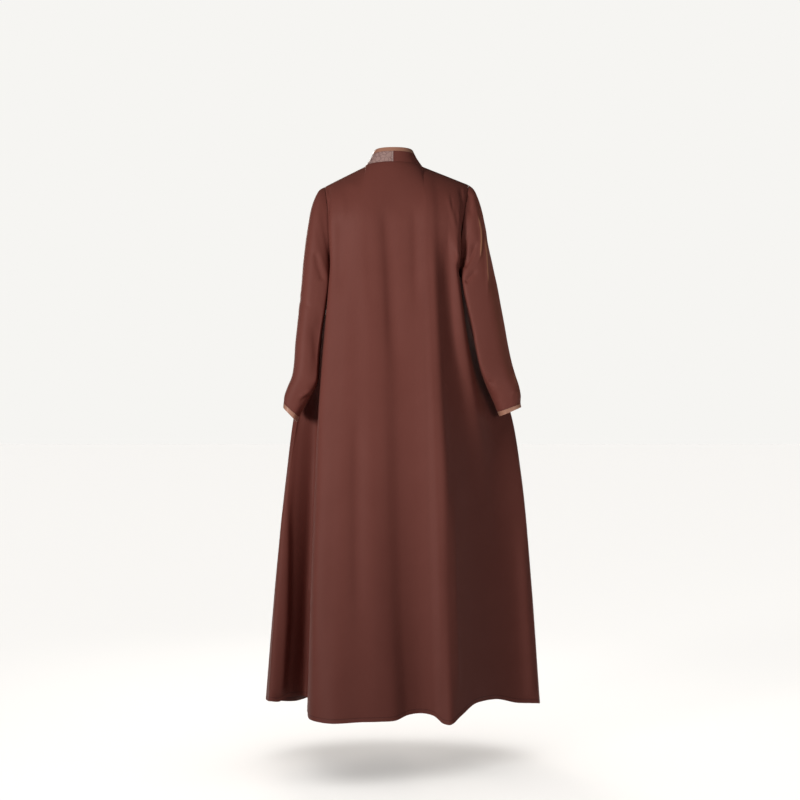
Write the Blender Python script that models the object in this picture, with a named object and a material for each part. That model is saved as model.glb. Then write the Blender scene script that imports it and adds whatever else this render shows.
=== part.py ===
"""A worn, empty abaya: a long flared open-fronted garment with set-in sleeves and a standing neckband.

Sizes are in millimetres and are turned into metres when a mesh is made. The garment faces +Y, its back
is towards -Y and +Z is up. Each wall is a sheet of points for its outer face, given a thickness inwards.
"behind" is a distance towards the back, so it is -Y.
"""

import bpy
import numpy as np

MM = 0.001
CLOTH = 1.8
BAND_CLOTH = 2.2
BINDING_CLOTH = 2.8
SEAM_GAP = 0.3
SHARP_ANGLE = np.radians(50)

# Heights of the level sections through the body, below the shoulder line.
LEVELS = {
    "blade": -150,
    "underarm": -280,
    "waist": -450,
    "hip": -600,
    "thigh": -780,
    "knee": -1050,
    "hem": -1360,
}
BACK_HEM = -1360
LOWEST_BELOW_HEM = 40

# Heights of the rows of points along the left side: armhole first, then the side seam.
ARMHOLE_ROWS = (-50, -52, -57, -66, -80, -100, -124, -150, -180, -210, -238, -260, -274, -280)
SEAM_ROWS = (-298, -330, -378, -435, -500, -570, -645, -730, -825, -930, -1040, -1150, -1255, -1330, -1360)

# Shoulder and neck.
LEFT_TIP = (-184, -50)
RIGHT_TIP = (182, -45)
NECK_POINT_HEIGHT = 1.4
NECK_CENTRE = -8.25
NECK_HALF_WIDTH = 72.75
NECK_BEHIND = 70
NECK_RISE = 4.6
CENTRE_BACK_ANGLE = np.radians(91.4)
SHOULDER_ROUNDNESS = 2.0
CENTRE_BACK_ROUNDNESS = 1.4

# Armholes: an oval from the shoulder tip to the underarm point, deeper behind the shoulders than before them.
# Each panel bends towards it over as many columns of points as its "reach". On the right of the back the
# bend fades in above the underarm, at the end of the reach over RIGHT_BACK_FADES_OVER of the armhole's height.
LEFT_UNDERARM_X = -160
RIGHT_UNDERARM_X = 156
UNDERARM_BEHIND = -2
ARMHOLE_BEHIND = 64
ARMHOLE_BEFORE = 48
ARMHOLE_BOW = 1.5
RIGHT_BACK_FADES_OVER = 0.3
LEFT_BACK_REACH = 12
RIGHT_BACK_REACH = 7
FRONT_REACH = 7

# Bands and bindings.
BAND_WIDTH = 28
EDGE_BINDING_WIDTH = 10
BAND_SETTLES_BELOW = 75
BAND_SMOOTHING = 3
BAND_WAY_AT_CENTRE_BACK = (0.0, 0.25, 0.97)
BAND_WAY_AT_NECK_POINT = (0.61, 0.0, 0.79)

# Fold lines of the back, from the left side seam to the right one. "cells" is the number of cells up to
# the next line. Then come x on the top edge, the height at the hem, and a pair of x and behind at each of
# the LEVELS.
BACK_FOLDS = (
    ("left_seam", 2, -184, -1360, (-170, 62), (-160, -2), (-207, -60),
     (-250, -60), (-280, -18), (-308, -14), (-334, -11)),
    ("crest", 2, -183, -1356, (-170, 64), (-160, 8), (-205, -61),
     (-248, -64), (-275, -3), (-303, 10), (-322, 30)),
    ("crest_edge", 2, -182, -1359, (-171, 66), (-161, 14), (-202, -58),
     (-243, -67), (-270, -4), (-284, 6), (-300, 20)),
    ("valley", 2, -181, -1350, (-171, 68), (-161, 20), (-198, -52),
     (-235, -64), (-255, -10), (-263, -9), (-276, 2)),
    ("foot", 2, -179, -1355, (-172, 70), (-163, 34), (-187, -28),
     (-208, -52), (-214, -16), (-224, -33), (-236, -36)),
    ("wall", 2, -177, -1360, (-172, 73), (-167, 50), (-181, 24),
     (-197, 24), (-207, 50), (-216, 60), (-225, 55)),
    ("corner", 2, -172, -1357, (-171, 78), (-169, 74), (-183, 90),
     (-193, 112), (-201, 138), (-210, 170), (-219, 172)),
    ("edge", 3, -161, -1359, (-164, 88), (-166, 90), (-177, 111),
     (-188, 136), (-191, 168), (-199, 216), (-204, 262)),
    ("flat_left", 3, -125, -1362, (-127, 99), (-129, 106), (-134, 128),
     (-142, 153), (-146, 183), (-152, 229), (-156, 290)),
    ("left_neck", 3, -81, -1360, (-99, 106), (-99, 114), (-96, 133),
     (-93, 158), (-90, 185), (-90, 228), (-88, 283)),
    ("flat_right", 2, -52, -1360, (-69, 110), (-68, 119), (-66, 137),
     (-62, 161), (-56, 186), (-50, 226), (-42, 277)),
    ("slope", 2, -32, -1360, (-40, 109), (-38, 118), (-34, 136),
     (-32, 160), (-28, 182), (-20, 216), (-4, 264)),
    ("recess", 3, -10, -1352, (-4, 106), (-3, 113), (0, 129), (2, 151), (6, 169), (12, 197), (28, 234)),
    ("rise", 3, 20, -1351, (34, 106), (36, 113), (39, 130), (42, 150), (44, 165), (48, 187), (62, 217)),
    ("ridge_start", 2, 46, -1358, (60, 107), (64, 115), (69, 133),
     (73, 154), (76, 168), (82, 188), (90, 215)),
    ("ridge", 2, 64, -1375, (75, 107), (80, 116), (86, 135), (92, 157), (98, 173), (106, 194), (112, 222)),
    ("ridge_end", 2, 80, -1377, (90, 105), (94, 115), (102, 132),
     (110, 152), (118, 171), (124, 190), (130, 226)),
    ("fall", 2, 97, -1361, (106, 99), (112, 101), (121, 111),
     (131, 121), (141, 143), (152, 162), (156, 200)),
    ("right_foot", 3, 124, -1339, (127, 94), (131, 88), (141, 92),
     (163, 88), (178, 91), (188, 112), (196, 150)),
    ("right_floor", 2, 150, -1341, (150, 86), (151, 86), (173, 84),
     (199, 66), (224, 42), (236, 58), (250, 84)),
    ("right_side", 2, 169, -1359, (164, 74), (157, 46), (184, 14),
     (226, -2), (270, -2), (292, 10), (306, 36)),
    ("right_seam", 0, 182, -1364, (169, 61), (156, -2), (203, -58),
     (275, -60), (316, -32), (341, -14), (361, 14)),
)

# Fold lines of the fronts, from the side seam to the band. The first pair of each table is the side seam.
LEFT_FRONT_FOLDS = (
    ("seam", 2, -184, -1360, (-170, -47), (-160, -2), (-207, -60),
     (-250, -60), (-280, -18), (-308, -14), (-334, -11)),
    ("turn", 2, -181, -1364, (-170, -55), (-160, -15), (-213, -72),
     (-261, -76), (-284, -42), (-312, -46), (-338, -50)),
    ("side_fold", 3, -168, -1376, (-165, -67), (-158, -44), (-203, -92),
     (-249, -100), (-267, -84), (-297, -90), (-325, -96)),
    ("trough", 3, -140, -1388, (-148, -82), (-143, -80), (-172, -106),
     (-206, -115), (-227, -112), (-250, -126), (-268, -150)),
    ("chest", 3, -118, -1388, (-122, -98), (-121, -106), (-140, -126),
     (-163, -144), (-180, -162), (-198, -196), (-214, -236)),
    ("shallow", 3, -102, -1388, (-98, -105), (-97, -119), (-108, -133),
     (-122, -145), (-131, -155), (-141, -178), (-148, -204)),
    ("fold", 2, -90, -1388, (-74, -109), (-72, -127), (-77, -142),
     (-83, -160), (-88, -181), (-91, -223), (-95, -272)),
    ("band_seam", 0, -81, -1388, (-50, -107), (-48, -126), (-47, -142),
     (-47, -159), (-48, -178), (-49, -214), (-50, -256)),
)
RIGHT_FRONT_FOLDS = (
    ("seam", 2, 182, -1364, (169, -46), (156, -2), (203, -58),
     (275, -60), (316, -32), (341, -14), (361, 14)),
    ("turn", 2, 179, -1372, (169, -54), (158, -18), (212, -74),
     (287, -72), (320, -60), (345, -50), (366, -34)),
    ("side_fold", 3, 166, -1374, (164, -66), (166, -50), (216, -96),
     (274, -100), (305, -98), (328, -100), (352, -98)),
    ("trough", 3, 138, -1374, (146, -80), (139, -79), (184, -109),
     (228, -117), (256, -122), (270, -136), (286, -156)),
    ("chest", 3, 112, -1374, (118, -97), (117, -105), (146, -127),
     (176, -146), (196, -166), (212, -198), (228, -232)),
    ("shallow", 3, 92, -1374, (90, -104), (89, -118), (108, -133),
     (127, -146), (139, -156), (148, -176), (158, -200)),
    ("fold", 2, 76, -1374, (60, -108), (60, -127), (70, -142),
     (80, -161), (88, -183), (95, -224), (104, -268)),
    ("band_seam", 0, 64, -1374, (34, -107), (32, -126), (33, -142),
     (36, -159), (42, -178), (52, -214), (64, -256)),
)

# Stations along the sleeves after the armhole, to the cuff seam and the cuff's edge. Each one has its outer
# x and z, its inner x and z, how far its middle lies behind the shoulders, and half its depth. A ring is an
# oval at the armhole and a flatter form with rounded corners from station FLAT_FROM_STATION on. Between
# stations LEAN_FROM and LEAN_TO the corner that lies behind and beside the body is squarer, the back leans
# towards the body by the lean, and the ring turns so that its inner side lies further back by the tilt.
ROUND_AT_ARMHOLE = 2.0
FLAT_BELOW = 3.0
FLAT_FROM_STATION = 5
CORNER_BESIDE_BODY = 6.0
LEFT_LEAN = 4
RIGHT_LEAN = 5
LEFT_TILT = 0.0
RIGHT_TILT = 0.28
LEAN_FROM = 5
LEAN_TO = 14
LEAN_FADES_OVER = 3
LEFT_SLEEVE = (
    (-198, -60, -162.5, -283, 9, 57),
    (-210, -82, -165.5, -286, 10, 60),
    (-220, -114, -168.5, -291, 11, 62),
    (-226, -150, -171, -298, 12, 64),
    (-232, -194, -172.5, -309, 13, 65),
    (-237, -240, -175, -327, 15, 65),
    (-242, -295, -179.5, -355, 18, 64),
    (-248, -350, -184, -390, 21, 63),
    (-253, -402, -188.5, -428, 25, 61),
    (-258, -452, -192, -468, 28, 60),
    (-261, -500, -195, -508, 30, 57),
    (-266, -532, -198, -541, 30, 54),
    (-277, -560, -208, -567, 29, 50),
    (-284.5, -582, -226, -598, 27, 47),
    (-286.5, -600, -248, -635, 24, 44),
    (-287.5, -611, -252, -648, 23, 43.5),
)
RIGHT_SLEEVE = (
    (195, -57, 159.5, -279, 9, 57),
    (207, -82, 161.5, -282, 10, 60),
    (217, -114, 163, -287, 11, 62),
    (224, -146, 164.5, -294, 12, 64),
    (233, -186, 167, -306, 13, 65),
    (243, -232, 170, -325, 15, 65),
    (253, -288, 176, -352, 18, 64),
    (263, -345, 184, -385, 21, 63),
    (273, -400, 192, -422, 25, 61),
    (282, -452, 199, -462, 28, 58),
    (291, -495, 207, -500, 30, 56),
    (300, -528, 216, -532, 31, 53),
    (309, -558, 227, -560, 31, 50),
    (313, -582, 240, -588, 29, 47),
    (312.5, -602, 255, -623, 26, 44),
    (314, -610.5, 260, -634, 25, 43.5),
)

COLOURS = {
    "crepe": ("#71403b", 0.75),
    "jacquard": ("#987974", 0.55),
    "satin": ("#8f6959", 0.4),
}


def smoothstep(value):
    value = np.clip(value, 0.0, 1.0)
    return value * value * (3.0 - 2.0 * value)


def unit(vectors):
    length = np.linalg.norm(vectors, axis=-1, keepdims=True)
    return vectors / np.maximum(length, 1e-9)


def catmull_rom(points, cells):
    """Points of a centripetal curve through the given ones, with the stated number of cells between two."""
    points = np.asarray(points, dtype=float)
    padded = np.vstack([2 * points[0] - points[1], points, 2 * points[-1] - points[-2]])
    found = []
    for index, count in enumerate(cells):
        a, b, c, d = padded[index : index + 4]
        ta = 0.0
        tb = ta + np.linalg.norm(b - a) ** 0.5
        tc = tb + np.linalg.norm(c - b) ** 0.5
        td = tc + np.linalg.norm(d - c) ** 0.5
        for step in range(count):
            t = tb + (tc - tb) * step / count
            ab = ((tb - t) * a + (t - ta) * b) / (tb - ta)
            bc = ((tc - t) * b + (t - tb) * c) / (tc - tb)
            cd = ((td - t) * c + (t - tc) * d) / (td - tc)
            abc = ((tc - t) * ab + (t - ta) * bc) / (tc - ta)
            bcd = ((td - t) * bc + (t - tb) * cd) / (td - tb)
            found.append(((tc - t) * abc + (t - tb) * bcd) / (tc - tb))
    found.append(points[-1])
    return np.array(found)


def level_columns(folds):
    """x and behind of every column of points at every level: an array of levels x columns x 2."""
    cells = [row[1] for row in folds[:-1]]
    return np.array([catmull_rom([row[4 + level] for row in folds], cells) for level in range(len(LEVELS))])


def at_height(levels, column, height):
    """x and behind of a column at a height below the first level, on a smooth curve through the levels."""
    heights = np.array(list(LEVELS.values()), dtype=float)
    values = levels[:, column]
    slopes = np.zeros_like(values)
    for index in range(1, len(heights)):
        above = index if index == 1 else index - 1
        below = min(index + 1, len(heights) - 1)
        slopes[index] = (values[below] - values[above]) / (heights[below] - heights[above])
    height = max(height, heights[-1] - LOWEST_BELOW_HEM)
    index = min(int(np.searchsorted(-heights, -height)), len(heights) - 1)
    index = max(index, 1)
    high, low = heights[index - 1], heights[index]
    t = (height - high) / (low - high)
    if t > 1.0:
        return values[index] + slopes[index] * (height - low)
    span = low - high
    return (
        (1 + 2 * t) * (1 - t) ** 2 * values[index - 1]
        + t * (1 - t) ** 2 * span * slopes[index - 1]
        + t * t * (3 - 2 * t) * values[index]
        + t * t * (t - 1) * span * slopes[index]
    )


def armhole(tip, underarm, angle, front):
    """x, behind and z on the armhole's oval. The angle is 0 at the shoulder tip and pi at the underarm."""
    share = (1 + np.cos(angle)) / 2
    swell = (-ARMHOLE_BEFORE if front else ARMHOLE_BEHIND) * np.sin(angle)
    x = underarm[0] + (tip[0] - underarm[0]) * share**ARMHOLE_BOW
    behind = UNDERARM_BEHIND * (1 - share) + swell
    return np.array([x, behind, underarm[1] + (tip[1] - underarm[1]) * share])


def back_top_edge(folds):
    """x, behind, z and roundness of the back's top edge: shoulder seam, neckline and shoulder seam."""
    names = [row[0] for row in folds]
    starts = np.cumsum([0] + [row[1] for row in folds[:-1]])
    left_neck = starts[names.index("left_neck")]
    centre = starts[names.index("recess")]
    right_neck = starts[names.index("ridge")]
    top_x = np.interp(np.arange(starts[-1] + 1), starts, [row[2] for row in folds])
    points = []
    for column, x in enumerate(top_x):
        if column <= left_neck:
            share = (x - LEFT_TIP[0]) / (NECK_CENTRE - NECK_HALF_WIDTH - LEFT_TIP[0])
            height = LEFT_TIP[1] + share * (NECK_POINT_HEIGHT - LEFT_TIP[1])
            points.append((x, 0.0, height, SHOULDER_ROUNDNESS))
        elif column >= right_neck:
            share = (RIGHT_TIP[0] - x) / (RIGHT_TIP[0] - NECK_CENTRE - NECK_HALF_WIDTH)
            height = RIGHT_TIP[1] + share * (NECK_POINT_HEIGHT - RIGHT_TIP[1])
            points.append((x, 0.0, height, SHOULDER_ROUNDNESS))
        else:
            angle = np.interp(column, (left_neck, centre, right_neck), (np.pi, CENTRE_BACK_ANGLE, 0.0))
            behind = NECK_BEHIND * np.sin(angle)
            height = NECK_POINT_HEIGHT + NECK_RISE * np.sin(angle)
            x = NECK_CENTRE + NECK_HALF_WIDTH * np.cos(angle)
            flatter = (SHOULDER_ROUNDNESS - CENTRE_BACK_ROUNDNESS) * np.sin(angle)
            points.append((x, behind, height, SHOULDER_ROUNDNESS - flatter))
    points[left_neck] = (NECK_CENTRE - NECK_HALF_WIDTH, 0.0, NECK_POINT_HEIGHT, SHOULDER_ROUNDNESS)
    points[right_neck] = (NECK_CENTRE + NECK_HALF_WIDTH, 0.0, NECK_POINT_HEIGHT, SHOULDER_ROUNDNESS)
    return np.array(points), (int(left_neck), int(centre), int(right_neck))


def front_top_edge(folds, tip, neck_x):
    """The same for a front: its shoulder seam, from the shoulder tip to the neck point."""
    starts = np.cumsum([0] + [row[1] for row in folds[:-1]])
    top_x = np.interp(np.arange(starts[-1] + 1), starts, [row[2] for row in folds])
    top_x[-1] = neck_x
    share = (top_x - tip[0]) / (neck_x - tip[0])
    height = tip[1] + share * (NECK_POINT_HEIGHT - tip[1])
    return np.column_stack([top_x, np.zeros_like(top_x), height, np.full_like(top_x, SHOULDER_ROUNDNESS)])


def hem_line(folds):
    """The height of the hem in every column, on a smooth curve through the fold lines' heights."""
    cells = [row[1] for row in folds[:-1]]
    starts = np.cumsum([0] + cells)
    return catmull_rom([(start, row[3]) for start, row in zip(starts, folds)], cells)[:, 1]


def row_height(top, hem, row_reference):
    """The height of a row in a column, from its height along the left side."""
    share = (row_reference - ARMHOLE_ROWS[0]) / (BACK_HEM - ARMHOLE_ROWS[0])
    return top + share * (hem - top)


def panel_grid(folds, top_edge, hem, armholes):
    """Outer points of a panel, rows x columns x 3.

    An armhole is (column, reach, tip, underarm x, front, share of its height that the bend fades in over).
    """
    levels = level_columns(folds)
    rows = ARMHOLE_ROWS + SEAM_ROWS
    first_level = LEVELS["blade"]
    grid = np.zeros((len(rows), len(top_edge), 3))
    for column, (top_x, top_behind, top_z, roundness) in enumerate(top_edge):
        for row, reference in enumerate(rows):
            z = row_height(top_z, hem[column], reference)
            if z > first_level:
                share = (top_z - z) / (top_z - first_level)
                under = levels[0, column]
                x = top_x + (under[0] - top_x) * smoothstep(share)
                swell = (1 - (1 - share) ** roundness) ** (1 / roundness)
                behind = top_behind + (under[1] - top_behind) * swell
            else:
                x, behind = at_height(levels, column, z)
            grid[row, column] = (x, -behind, z)
    for edge, reach, tip, underarm_x, front, fades_over in armholes:
        underarm = (underarm_x, grid[len(ARMHOLE_ROWS) - 1, edge, 2])
        inward = 1 if edge == 0 else -1
        for row in range(len(ARMHOLE_ROWS)):
            share = (grid[row, edge, 2] - underarm[1]) / (tip[1] - underarm[1])
            angle = np.arccos(np.clip(2 * share - 1, -1, 1))
            x, behind, z = armhole(tip, underarm, angle, front)
            move = np.array([x, -behind, z]) - grid[row, edge]
            for step in range(reach):
                fade = smoothstep(share * reach / max(step * fades_over, 1e-6))
                grid[row, edge + inward * step] += move * (1 - step / reach) * fade
    return grid


def outward_normals(grid, side, closed=False):
    """Unit normals of a grid of points, on the side that "side" (1 or -1) gives."""
    if closed:
        across = np.roll(grid, -1, axis=1) - np.roll(grid, 1, axis=1)
    else:
        across = np.gradient(grid, axis=1)
    down = np.gradient(grid, axis=0)
    return side * unit(np.cross(across, down))


def draw_in(grid, edge, distance):
    """Moves one edge of a grid towards its inside: "top", "bottom", "first" or "last"."""
    if edge == "top":
        grid[0] += distance * unit(grid[1] - grid[0])
    elif edge == "bottom":
        grid[-1] += distance * unit(grid[-2] - grid[-1])
    elif edge == "first":
        grid[:, 0] += distance * unit(grid[:, 1] - grid[:, 0])
    else:
        grid[:, -1] += distance * unit(grid[:, -2] - grid[:, -1])


def share_normals(first, second):
    """Makes two matching rows of normals the same, so that the rims of two walls at a seam are parallel."""
    both = unit(first + second)
    first[:] = both
    second[:] = both


def linear(hexadecimal):
    """A colour given as sRGB, in linear values."""
    parts = [int(hexadecimal[i : i + 2], 16) / 255 for i in (1, 3, 5)]
    return [p / 12.92 if p <= 0.04045 else ((p + 0.055) / 1.055) ** 2.4 for p in parts] + [1.0]


def material(name):
    colour, roughness = COLOURS[name]
    made = bpy.data.materials.get(name) or bpy.data.materials.new(name)
    made.use_nodes = True
    shader = made.node_tree.nodes["Principled BSDF"]
    shader.inputs["Base Color"].default_value = linear(colour)
    shader.inputs["Roughness"].default_value = roughness
    shader.inputs["Metallic"].default_value = 0.0
    return made


def wall(name, grid, normals, thickness, cloth, closed=False):
    """A closed solid: the grid is its outer face, and the inner face lies a thickness behind it."""
    rows, columns = grid.shape[:2]
    outer = grid.reshape(-1, 3)
    inner = (grid - thickness * normals).reshape(-1, 3)
    points = np.vstack([outer, inner]) * MM
    back = rows * columns

    def at(row, column):
        return row * columns + column % columns

    faces = []
    last = columns if closed else columns - 1
    for row in range(rows - 1):
        for column in range(last):
            a, b = at(row, column), at(row, column + 1)
            c, d = at(row + 1, column + 1), at(row + 1, column)
            faces.append((a, b, c, d))
            faces.append((back + d, back + c, back + b, back + a))
    for column in range(last):
        a, b = at(0, column), at(0, column + 1)
        c, d = at(rows - 1, column), at(rows - 1, column + 1)
        faces.append((back + a, back + b, b, a))
        faces.append((c, d, back + d, back + c))
    if not closed:
        for row in range(rows - 1):
            a, b = at(row, 0), at(row + 1, 0)
            c, d = at(row, columns - 1), at(row + 1, columns - 1)
            faces.append((a, b, back + b, back + a))
            faces.append((back + c, back + d, d, c))
    mesh = bpy.data.meshes.new(name)
    mesh.from_pydata(points.tolist(), [], faces)
    mesh.update()
    volume = sum(
        np.dot(points[a], np.cross(points[b], points[c]) + np.cross(points[c], points[d]))
        for a, b, c, d in faces
    )
    if volume < 0:
        mesh.flip_normals()
    mesh.shade_smooth()
    mesh.set_sharp_from_angle(angle=SHARP_ANGLE)
    mesh.materials.append(material(cloth))
    made = bpy.data.objects.new(name, mesh)
    bpy.context.scene.collection.objects.link(made)
    return made


def sleeve_rings(stations, tip, underarm, side, lean, tilt):
    """Outer points of a sleeve, from the armhole to the cuff's edge: stations x around x 3."""
    heights = np.array(ARMHOLE_ROWS, dtype=float)
    shares = (heights - heights[-1]) / (heights[0] - heights[-1])
    down_the_back = np.arccos(2 * shares - 1)
    angles = np.concatenate([down_the_back, 2 * np.pi - down_the_back[-2:0:-1]])
    first = []
    for angle in angles:
        front = angle > np.pi
        x, behind, z = armhole(tip, underarm, 2 * np.pi - angle if front else angle, front)
        first.append((x + side * SEAM_GAP, -behind, z - SEAM_GAP * 0.5 * (1 - np.cos(angle))))
    rings = [first]
    back_and_inside = (angles > np.pi / 2) & (angles < np.pi)
    corner = (CORNER_BESIDE_BODY - FLAT_BELOW) * np.where(back_and_inside, np.sin(2 * angles) ** 2, 0.0)
    for outer_x, outer_z, inner_x, inner_z, behind, half_depth in stations:
        outer = np.array([outer_x, -behind, outer_z], dtype=float)
        inner = np.array([inner_x, -behind, inner_z], dtype=float)
        middle = (outer + inner) / 2
        swell = np.array([0.0, -half_depth, 0.0])
        station = len(rings)
        flatter = smoothstep(station / FLAT_FROM_STATION)
        along_arm = smoothstep(station / LEAN_FROM) * smoothstep((LEAN_TO - station) / LEAN_FADES_OVER)
        power = ROUND_AT_ARMHOLE + (FLAT_BELOW - ROUND_AT_ARMHOLE + corner * along_arm) * flatter
        across = np.sign(np.cos(angles)) * np.abs(np.cos(angles)) ** (2 / power)
        deep = np.sign(np.sin(angles)) * np.abs(np.sin(angles)) ** (2 / power)
        shift = np.array([-side * lean * along_arm, 0.0, 0.0])
        turn = np.array([0.0, tilt * along_arm * abs(outer_x - inner_x) / 2, 0.0])
        ring = middle + across[:, None] * (outer - middle + turn) + deep[:, None] * swell
        rings.append(ring + np.maximum(deep, 0)[:, None] * shift)
    return np.array(rings)


def band_seam(back_top, front_edge):
    """The line that a band is sewn to: the neckline from centre back to neck point, then the front edge."""
    return np.vstack([back_top, front_edge[1:]])


def band_directions(seam, neck_points, towards_centre, front_inward):
    """The way across a band, from its seam to its free edge, at each point of the seam."""
    along = unit(np.gradient(seam, axis=0))
    at_back = np.array(BAND_WAY_AT_CENTRE_BACK)
    at_side = np.array(BAND_WAY_AT_NECK_POINT) * (towards_centre, 1, 1)
    found = []
    for index, point in enumerate(seam):
        if index <= neck_points:
            turn = smoothstep(index / neck_points)
            way = at_back * (1 - turn) + at_side * turn
        else:
            settled = smoothstep(-point[2] / BAND_SETTLES_BELOW)
            way = at_side * (1 - settled) + front_inward[index - neck_points] * settled
        if index:
            way = way - along[index] * np.dot(way, along[index])
        found.append(way)
    found = unit(np.array(found))
    for _ in range(BAND_SMOOTHING):
        found[1:-1] = unit(found[:-2] + 2 * found[1:-1] + found[2:])
    return found


def strip(seam, directions, start, width, cells):
    """Points of a strip beside a seam, from "start" to "start + width" across it."""
    across = start + width * np.arange(cells + 1) / cells
    return seam[:, None, :] + across[None, :, None] * directions[:, None, :]


def build():
    for old in list(bpy.data.objects):
        bpy.data.objects.remove(old, do_unlink=True)

    back_top, (left_neck, centre, right_neck) = back_top_edge(BACK_FOLDS)
    back = panel_grid(
        BACK_FOLDS,
        back_top,
        hem_line(BACK_FOLDS),
        (
            (0, LEFT_BACK_REACH, LEFT_TIP, LEFT_UNDERARM_X, False, 0.0),
            (len(back_top) - 1, RIGHT_BACK_REACH, RIGHT_TIP, RIGHT_UNDERARM_X, False, RIGHT_BACK_FADES_OVER),
        ),
    )
    fronts = {}
    for name, folds, tip, underarm_x, side in (
        ("left", LEFT_FRONT_FOLDS, LEFT_TIP, LEFT_UNDERARM_X, -1),
        ("right", RIGHT_FRONT_FOLDS, RIGHT_TIP, RIGHT_UNDERARM_X, 1),
    ):
        top = front_top_edge(folds, tip, NECK_CENTRE + side * NECK_HALF_WIDTH)
        fronts[name] = panel_grid(folds, top, hem_line(folds), ((0, FRONT_REACH, tip, underarm_x, True, 0.0),))

    back_normals = outward_normals(back, -1)
    front_normals = {
        "left": outward_normals(fronts["left"], 1),
        "right": outward_normals(fronts["right"], -1),
    }
    under = len(ARMHOLE_ROWS) - 1
    share_normals(back_normals[under:, 0], front_normals["left"][under:, 0])
    share_normals(back_normals[under:, -1], front_normals["right"][under:, 0])
    for normals, columns, tip, side in (
        (back_normals, slice(0, left_neck + 1), LEFT_TIP, -1),
        (front_normals["left"], slice(None), LEFT_TIP, -1),
        (back_normals, slice(right_neck, None), RIGHT_TIP, 1),
        (front_normals["right"], slice(None), RIGHT_TIP, 1),
    ):
        rise = NECK_POINT_HEIGHT - tip[1]
        run = tip[0] - (NECK_CENTRE + side * NECK_HALF_WIDTH)
        normals[0, columns] = unit(np.array([side * rise, 0.0, abs(run)]))

    # The lines that the bands are sewn to are read before the panels' edges are drawn in.
    seams = {
        "left": band_seam(back[0, left_neck : centre + 1][::-1], fronts["left"][:, -1]),
        "right": band_seam(back[0, centre : right_neck + 1], fronts["right"][:, -1]),
    }
    inward = {name: unit(grid[:, -1] - grid[:, -2]) for name, grid in fronts.items()}
    neck_steps = {"left": centre - left_neck, "right": right_neck - centre}

    half_gap = SEAM_GAP / 2
    for grid in (back, *fronts.values()):
        draw_in(grid, "top", half_gap)
        draw_in(grid, "first", half_gap)
        draw_in(grid, "last", half_gap)

    wall("back_panel", back, back_normals, CLOTH, "crepe")
    wall("left_front", fronts["left"], front_normals["left"], CLOTH, "crepe")
    wall("right_front", fronts["right"], front_normals["right"], CLOTH, "crepe")

    bands = {}
    bindings = {}
    for name, towards_centre in (("left", 1), ("right", -1)):
        directions = band_directions(seams[name], neck_steps[name], towards_centre, inward[name])
        band = strip(seams[name], directions, half_gap, BAND_WIDTH - SEAM_GAP, 2)
        binding = strip(seams[name], directions, BAND_WIDTH + half_gap, EDGE_BINDING_WIDTH, 1)
        bands[name] = (band, outward_normals(band, towards_centre))
        bindings[name] = (binding, outward_normals(binding, towards_centre))
    share_normals(bands["left"][1][0], bands["right"][1][0])
    share_normals(bindings["left"][1][0], bindings["right"][1][0])
    for name, (band, normals) in bands.items():
        share_normals(normals[:, -1], bindings[name][1][:, 0])
    for name, cloth in (("left", "jacquard"), ("right", "crepe")):
        band, normals = bands[name]
        draw_in(band, "top", half_gap)
        wall(f"{name}_band", band, normals, BAND_CLOTH, cloth)

    # The edge binding is one strip, up one front, round the neck and down the other front.
    binding = np.vstack([bindings["left"][0][::-1], bindings["right"][0][1:]])
    normals = np.vstack([bindings["left"][1][::-1], bindings["right"][1][1:]])
    binding += (BINDING_CLOTH - BAND_CLOTH) / 2 * normals
    wall("edge_binding", binding, normals, BINDING_CLOTH, "satin")

    for name, stations, tip, underarm_x, column, side, lean, tilt in (
        ("left", LEFT_SLEEVE, LEFT_TIP, LEFT_UNDERARM_X, 0, -1, LEFT_LEAN, LEFT_TILT),
        ("right", RIGHT_SLEEVE, RIGHT_TIP, RIGHT_UNDERARM_X, -1, 1, RIGHT_LEAN, RIGHT_TILT),
    ):
        underarm = (underarm_x, back[under, column, 2])
        rings = sleeve_rings(stations, tip, underarm, side, lean, tilt)
        normals = outward_normals(rings, side, closed=True)
        normals[0, :, 0] = 0.0
        normals[0] = unit(normals[0])
        sleeve = rings[:-1].copy()
        cuff = rings[-2:].copy()
        draw_in(sleeve, "bottom", half_gap)
        draw_in(cuff, "top", half_gap)
        wall(f"{name}_sleeve", sleeve, normals[:-1], CLOTH, "crepe", closed=True)
        cuff_normals = normals[-2:]
        cuff += (BINDING_CLOTH - CLOTH) / 2 * cuff_normals
        wall(f"{name}_cuff_binding", cuff, cuff_normals, BINDING_CLOTH, "satin", closed=True)


build()
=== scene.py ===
# %% [markdown]
# # An abaya, worn and empty
#
# An abaya is a long, loose over-garment that hangs open at the front. This one is cut from brown crepe: a
# back, two fronts and two set-in sleeves. A narrow standing neckband runs on down both front edges as bands,
# and its free edge and the cuffs are bound with taupe satin. The left half of the band is a jacquard.
#
# The lesson builds each piece as a thin sheet on the form of its rigid CAD wall, puts in the small creases,
# sews the pieces with stitches, gives each cloth its own finish, and lights the whole like a studio photo.

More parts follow.
